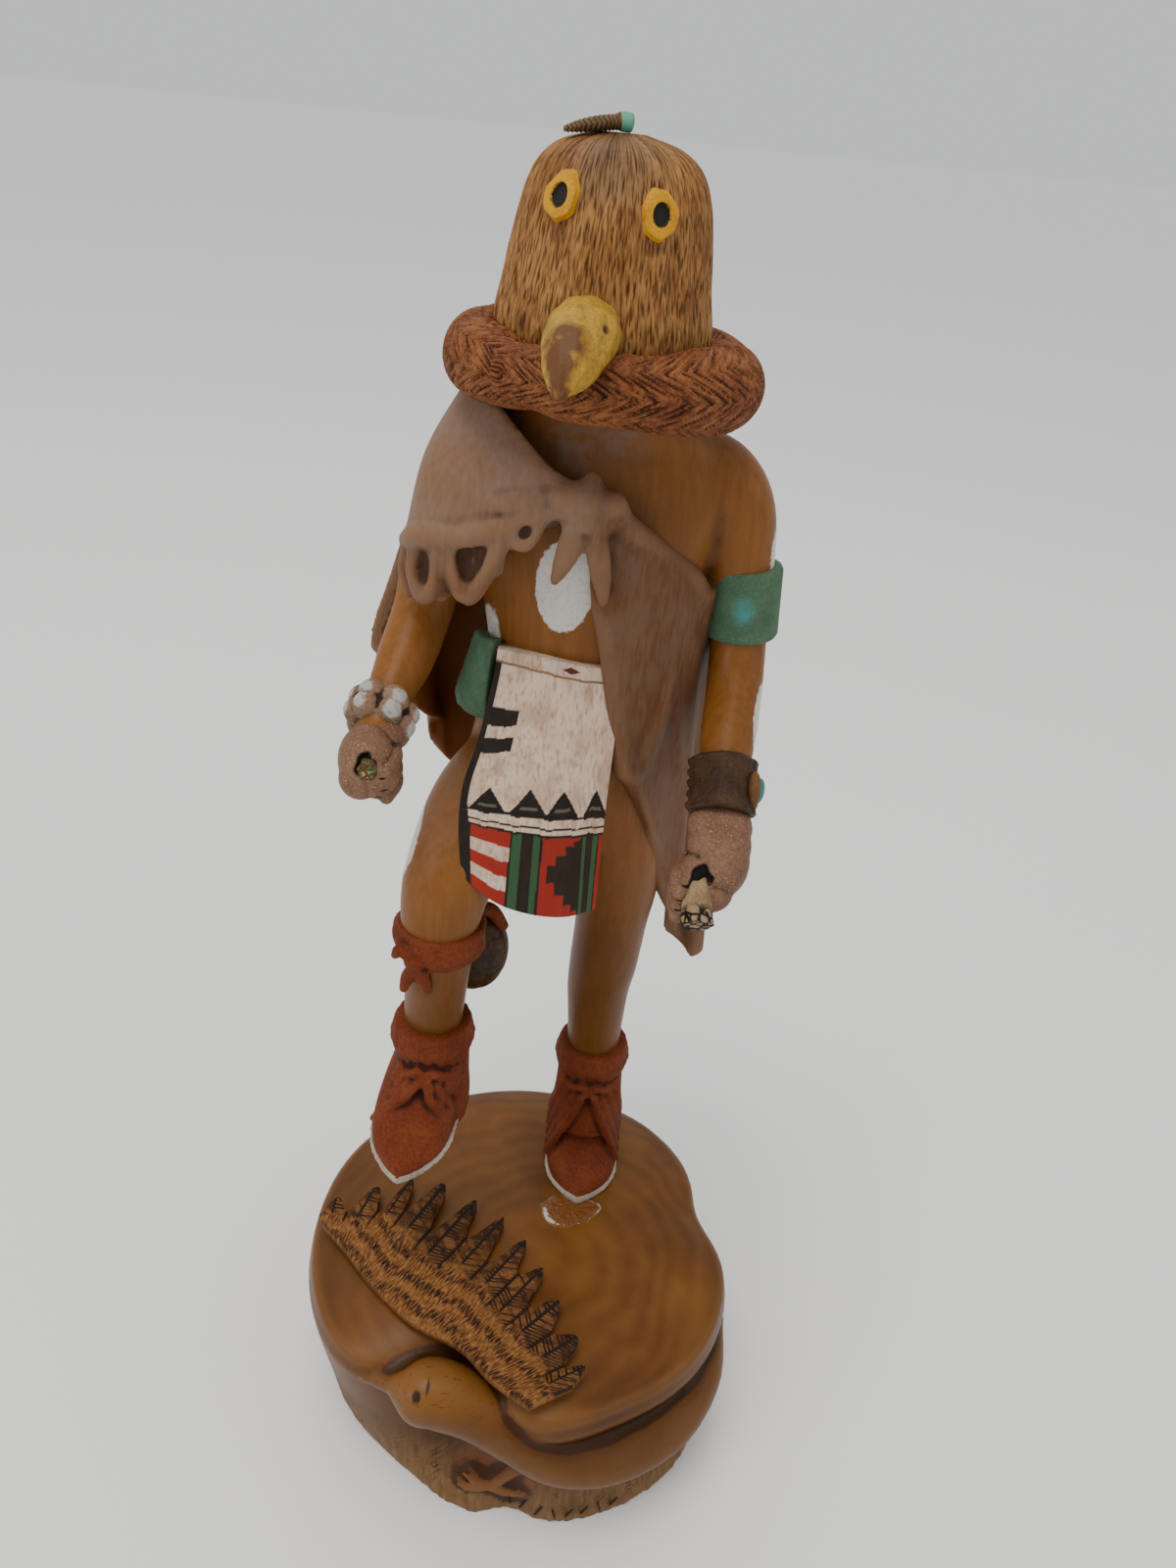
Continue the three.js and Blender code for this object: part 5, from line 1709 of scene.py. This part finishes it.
def plinth_finish():
    material, tree, shader, place = material_named("satin stained cottonwood root, plinth")
    off = add(tree, "VectorMath", {0: place, 1: (-6, 14, 0)}, operation="ADD").outputs[0]
    flat = add(tree, "VectorMath", {0: off, 1: (1, 1, 0.25)}, operation="MULTIPLY").outputs[0]
    away = add(tree, "VectorMath", {0: flat}, operation="LENGTH").outputs["Value"]
    sway = between(tree, noise(tree, place, 30, 3), 0, 1, -9, 9)
    ring = summed(tree, away, sway)
    wave = times(tree, ring, 0.9)
    rings = add(tree, "Math", {0: wave}, operation="SINE").outputs[0]
    clouds = noise(tree, place, 34, 4)
    fine = noise(tree, place, 1.3, 4, (1, 1, 9))
    mixed = summed(tree, clouds, between(tree, rings, -1, 1, -0.04, 0.04))
    top = blend(tree, between(tree, mixed, 0.32, 0.66), paint("583310"), paint("784c1d"))
    low = blend(tree, between(tree, fine, 0.3, 0.7), paint("5f4224"), paint("7a5d3c"))
    colour = blend(tree, kept(tree, "wall"), top, low)
    light = blend(tree, between(tree, clouds, 0.35, 0.65), paint("6e4213"), paint("7b4f1d"))
    colour = blend(tree, between(tree, kept(tree, "bird"), 0.2, 0.8), colour, light)
    # the painted shade below the rim and on the left
    colour = blend(tree, between(tree, kept(tree, "shade_below_rim_and_left"), 0, 1, 0, 0.62), colour, paint("3c1f06"))
    clawed = between(tree, kept(tree, "claw"), 0.3, 0.7, 0, 0.55)
    colour = blend(tree, clawed, colour, paint("6b3a1c"))
    # lighter on ridges: wear and a painted highlight
    worn = between(tree, kept(tree, "hollow"), -0.1, -0.03, 0.3, 0)
    colour = blend(tree, worn, colour, paint("7f5833"))
    # darker in hollows: painted shade, with pooled stain
    pooled_and_shaded = between(tree, kept(tree, "hollow"), 0.0, 0.05, 0, 0.85)
    colour = blend(tree, pooled_and_shaded, colour, paint("2f1705"))
    scratch = noise(tree, place, 0.5, 3, (7, 3, 1))
    scratched = times(tree, between(tree, scratch, 0.62, 0.68), kept(tree, "bird"))
    colour = blend(tree, scratched, colour, paint("48280d"))
    colour = blend(tree, between(tree, kept(tree, "eye"), -0.1, 0.3), colour, paint("2a1a0e"))
    gloss = between(tree, kept(tree, "wall"), 0, 1, 0.38, 0.6)
    wood_surface(tree, shader, colour, gloss, fine, 0.07)
    return material


finish_piece(plinth(), plinth_finish(), "base")

# %% [markdown]
# ## Marks on the plinth
# A row of plain slanting strokes is cut where a carver signs. In front of the standing toe lies
# a puddle of old glue, clear in the middle with a pale crust.

# %% Strokes and glue


STROKE_COUNT = 8
STROKE_START, STROKE_STEP = -86, 4.2  # bearings in degrees


def tally():
    parts = []
    for i in range(STROKE_COUNT):
        bearing = math.radians(STROKE_START + STROKE_STEP * i)
        reach = foot_radius(np.array([bearing]))[0] + 0.15
        x, y = reach * math.cos(bearing), reach * math.sin(bearing)
        tilt = 0.9 if i % 3 else -0.5
        parts.append(limb([(x - tilt, y, 4, 0.3, 0.35), (x, y - 0.1, 6.2, 0.34, 0.4),
                           (x + tilt, y - 0.2, 8.6, 0.28, 0.35)], 10, 16))
    piece = shown("tally_strokes", joined(parts))
    keep_hollows(piece)
    ink = painted_wood("burnt strokes on wood", "1d130b", "2b1c10", "3a2716", 0.7)[0]
    return finish_piece(piece, ink, "base")


def glue_puddle():
    marks = {}

    def shape(turn, run):
        share = np.sin(run * math.pi)
        wide = 9.4 + 1.6 * np.sin(2 * turn + 0.6) + 0.8 * np.sin(5 * turn)
        deep = 7.4 + 1.2 * np.cos(3 * turn)
        bulge = 0.55 * (1 - share**2) ** 0.5 + 0.12 * np.sin(11 * turn) * share
        high = PLINTH_TOP - 0.3 + np.where(run > 0.5, bulge + 0.25 * share, -0.5)
        marks["crust"] = hump(turn, 214, 34) * np.exp(-(((share - 0.86) / 0.07) ** 2))
        marks["crust"] += 0.5 * hump(turn, 20, 50) * np.exp(-(((share - 0.93) / 0.04) ** 2))
        return np.stack([15 + wide * share * np.cos(turn), 8.5 + deep * share * np.sin(turn),
                         high], 1)

    piece = shown("glue_puddle", moulded(90, 50, shape))
    keep(piece, "crust", marks["crust"])
    material, tree, shader, place = material_named("old clear glue with pale crust")
    lumpy = noise(tree, place, 1.2, 4)
    crust = times(tree, kept(tree, "crust"), between(tree, lumpy, 0.3, 0.6))
    colour = blend(tree, between(tree, crust, 0.12, 0.5), paint("6a4018"), paint("b9b2a4"))
    tree.links.new(colour, shader.inputs["Base Color"])
    shader.inputs["Roughness"].default_value = 0.14
    dent(tree, shader, lumpy, 0.35)
    return finish_piece(piece, material, "base")


tally()
glue_puddle()

# %% [markdown]
# ## The loose wing
# The wing broke off and lies on the plinth. It is a thin plate with eleven feathers fanned out
# from its leading edge. The short feathers near that edge are burnt in bands of fine strokes, and
# the long ones have a dark quill and slanting barbs. Cuts this fine need a grid less than half
# a millimetre apart, so the wing is a grid first, then a plate.

# %% Wing
LEADING = [
    (-66, -8.5, 0), (-56, -18, 0), (-46, -28.5, 0), (-31, -40.5, 0), (-15, -47.5, 0),
    (-4.5, -56.5, 0), (7.5, -63.8, 0),
]
TIPS = [
    (-69, -2.2, 0), (-58, 3.6, 0), (-45, 9.3, 0), (-34.6, 12.5, 0), (-22.4, 7, 0),
    (-11.8, 1.6, 0), (-2.8, -5.6, 0), (4.5, -14.4, 0), (10.5, -24.6, 0), (17, -36, 0),
    (22.7, -46.8, 0), (23.2, -54.5, 0),
]
FEATHERS = 11
WING_LOW, WING_THICK, WING_LEAN = 61.7, 3.2, 0.03
SIDE_BURN = 0.12


def wing_lean(x, y):
    """How far the plate's slight tilt lifts it at a place."""
    return WING_LEAN * (0.63 * (x + 20) + 0.78 * (y + 25))


def wing_burn(u, v, length, width):
    """How dark the burning is, from 0 to 1, and how deep the cut, by shares u and v."""
    feather = np.floor(u * FEATHERS)
    off = (u * FEATHERS - feather - 0.5) * 2
    side = np.abs(off)
    along = v * length
    quill = smooth_step(0.13, 0.06, side)
    barb = (along - side * width * 0.75) / 1.25 + 0.35 * hashed(feather)
    barbed = smooth_step(0.42, 0.16, np.abs(barb % 1 - 0.5))
    barbed *= 0.45 + 0.55 * (hashed(np.floor(barb), feather, side * 0 + (off > 0)) > 0.35)
    bars = 0.5 + 0.5 * np.sin((along + side * 3) / 6.4 * FULL_TURN + feather * 1.9)
    mottle = 0.6 * smooth_step(0.55, 0.85, bars) * hashed(np.floor(along / 0.6), feather, 7.0)
    far = smooth_step(0.42, 0.52, v + 0.06 * np.sin(feather * 2) + 0.05 * (side - 0.5))
    edge = smooth_step(0.84, 0.98, side) * far
    tip = smooth_step(0.76, 0.96, v + 0.08 * hashed(feather, 4.0))
    tip *= hashed(np.floor(along * 2), feather)
    wander = 1.5 * np.sin(u * 7 + 1) + 1.1 * np.sin(u * 17 + 2) + 0.6 * np.sin(u * 41)
    bands = 0.5 + 0.5 * np.sin(along / 7.2 * FULL_TURN + wander)
    fan = u * 96
    stroke = np.maximum(strokes(fan, along, 0.85, 4.4, 0.26, 9.0, 0.16),
                        0.85 * strokes(fan + 0.4, along + 2, 1.05, 5, 0.24, 4.0, 0.16))
    short = stroke * (0.5 + 0.5 * smooth_step(0.3, 0.6, bands))
    thick = strokes(fan + 1.7, along + 1, 0.7, 5.4, 0.3, 12.0, 0.16)
    wash = smooth_step(0.5, 0.85, bands) * np.maximum(0.9 * thick, 0.12)
    near = 1 - far
    close = near * np.maximum(short, wash)
    dark = np.maximum.reduce([close, 0.95 * quill * far, 0.9 * barbed * far, mottle * far,
                              0.8 * edge, 0.95 * tip])
    cut = np.maximum.reduce([near * stroke, 0.8 * quill * far, 0.7 * barbed * far, edge])
    return np.clip(dark, 0, 1), cut


def loose_wing():
    mesh, flat = sheet("wing", 370, 130)
    u, v = flat[:, 0] + 0.5, flat[:, 1] + 0.5
    off = np.abs(np.cos(u * FEATHERS * math.pi))
    deep = 0.24 + 0.14 * smooth_step(0.75, 0.2, u) + 0.05 * np.sin(u * 37)
    reach = v * (1 - deep * off**2.4) + 0.01 * v * np.sin(u * 130)
    start, end = through(LEADING, u), through(TIPS, u)
    spots = start + (end - start) * reach[:, None]
    length = np.linalg.norm(end - start, axis=1)
    dark, cut = wing_burn(u, reach, length, 4.6)
    lift = WING_LOW + wing_lean(spots[:, 0], spots[:, 1])
    overlap = 0.5 * ((u * FEATHERS) % 1 - 0.5) * smooth_step(0.4, 0.7, v)
    spots[:, 2] = lift + WING_THICK + 0.9 * (1 - 2 * off) * v - 0.35 * cut + overlap
    put(mesh, spots)
    bm = bmesh.new()
    bm.from_mesh(mesh)
    burn = bm.verts.layers.float.new("burn")
    bm.verts.ensure_lookup_table()
    for vert, value in zip(bm.verts, dark):
        vert[burn] = value
    under = (WING_LOW + 0.1) * MM
    for vert in walls_from_rim(bm):
        vert[burn] = SIDE_BURN
        vert.co.z = under + wing_lean(vert.co.x / MM, vert.co.y / MM) * MM
    close_under(bm, mesh)
    piece = shown("loose_wing_carved", mesh)
    material, tree, shader, place = material_named("wood burnt with a hot point, wing")
    streak = noise(tree, place, 1.4, 4)
    wood = blend(tree, between(tree, streak, 0.35, 0.65), paint("70441d"), paint("8c6135"))
    scorched = blend(tree, between(tree, kept(tree, "burn"), 0.05, 0.4), wood, paint("593518"))
    colour = blend(tree, between(tree, kept(tree, "burn"), 0.35, 0.8), scorched, paint("1d120a"))
    wood_surface(tree, shader, colour, 0.7, streak, 0.12)
    return finish_piece(piece, material, "loose_wing")


loose_wing()
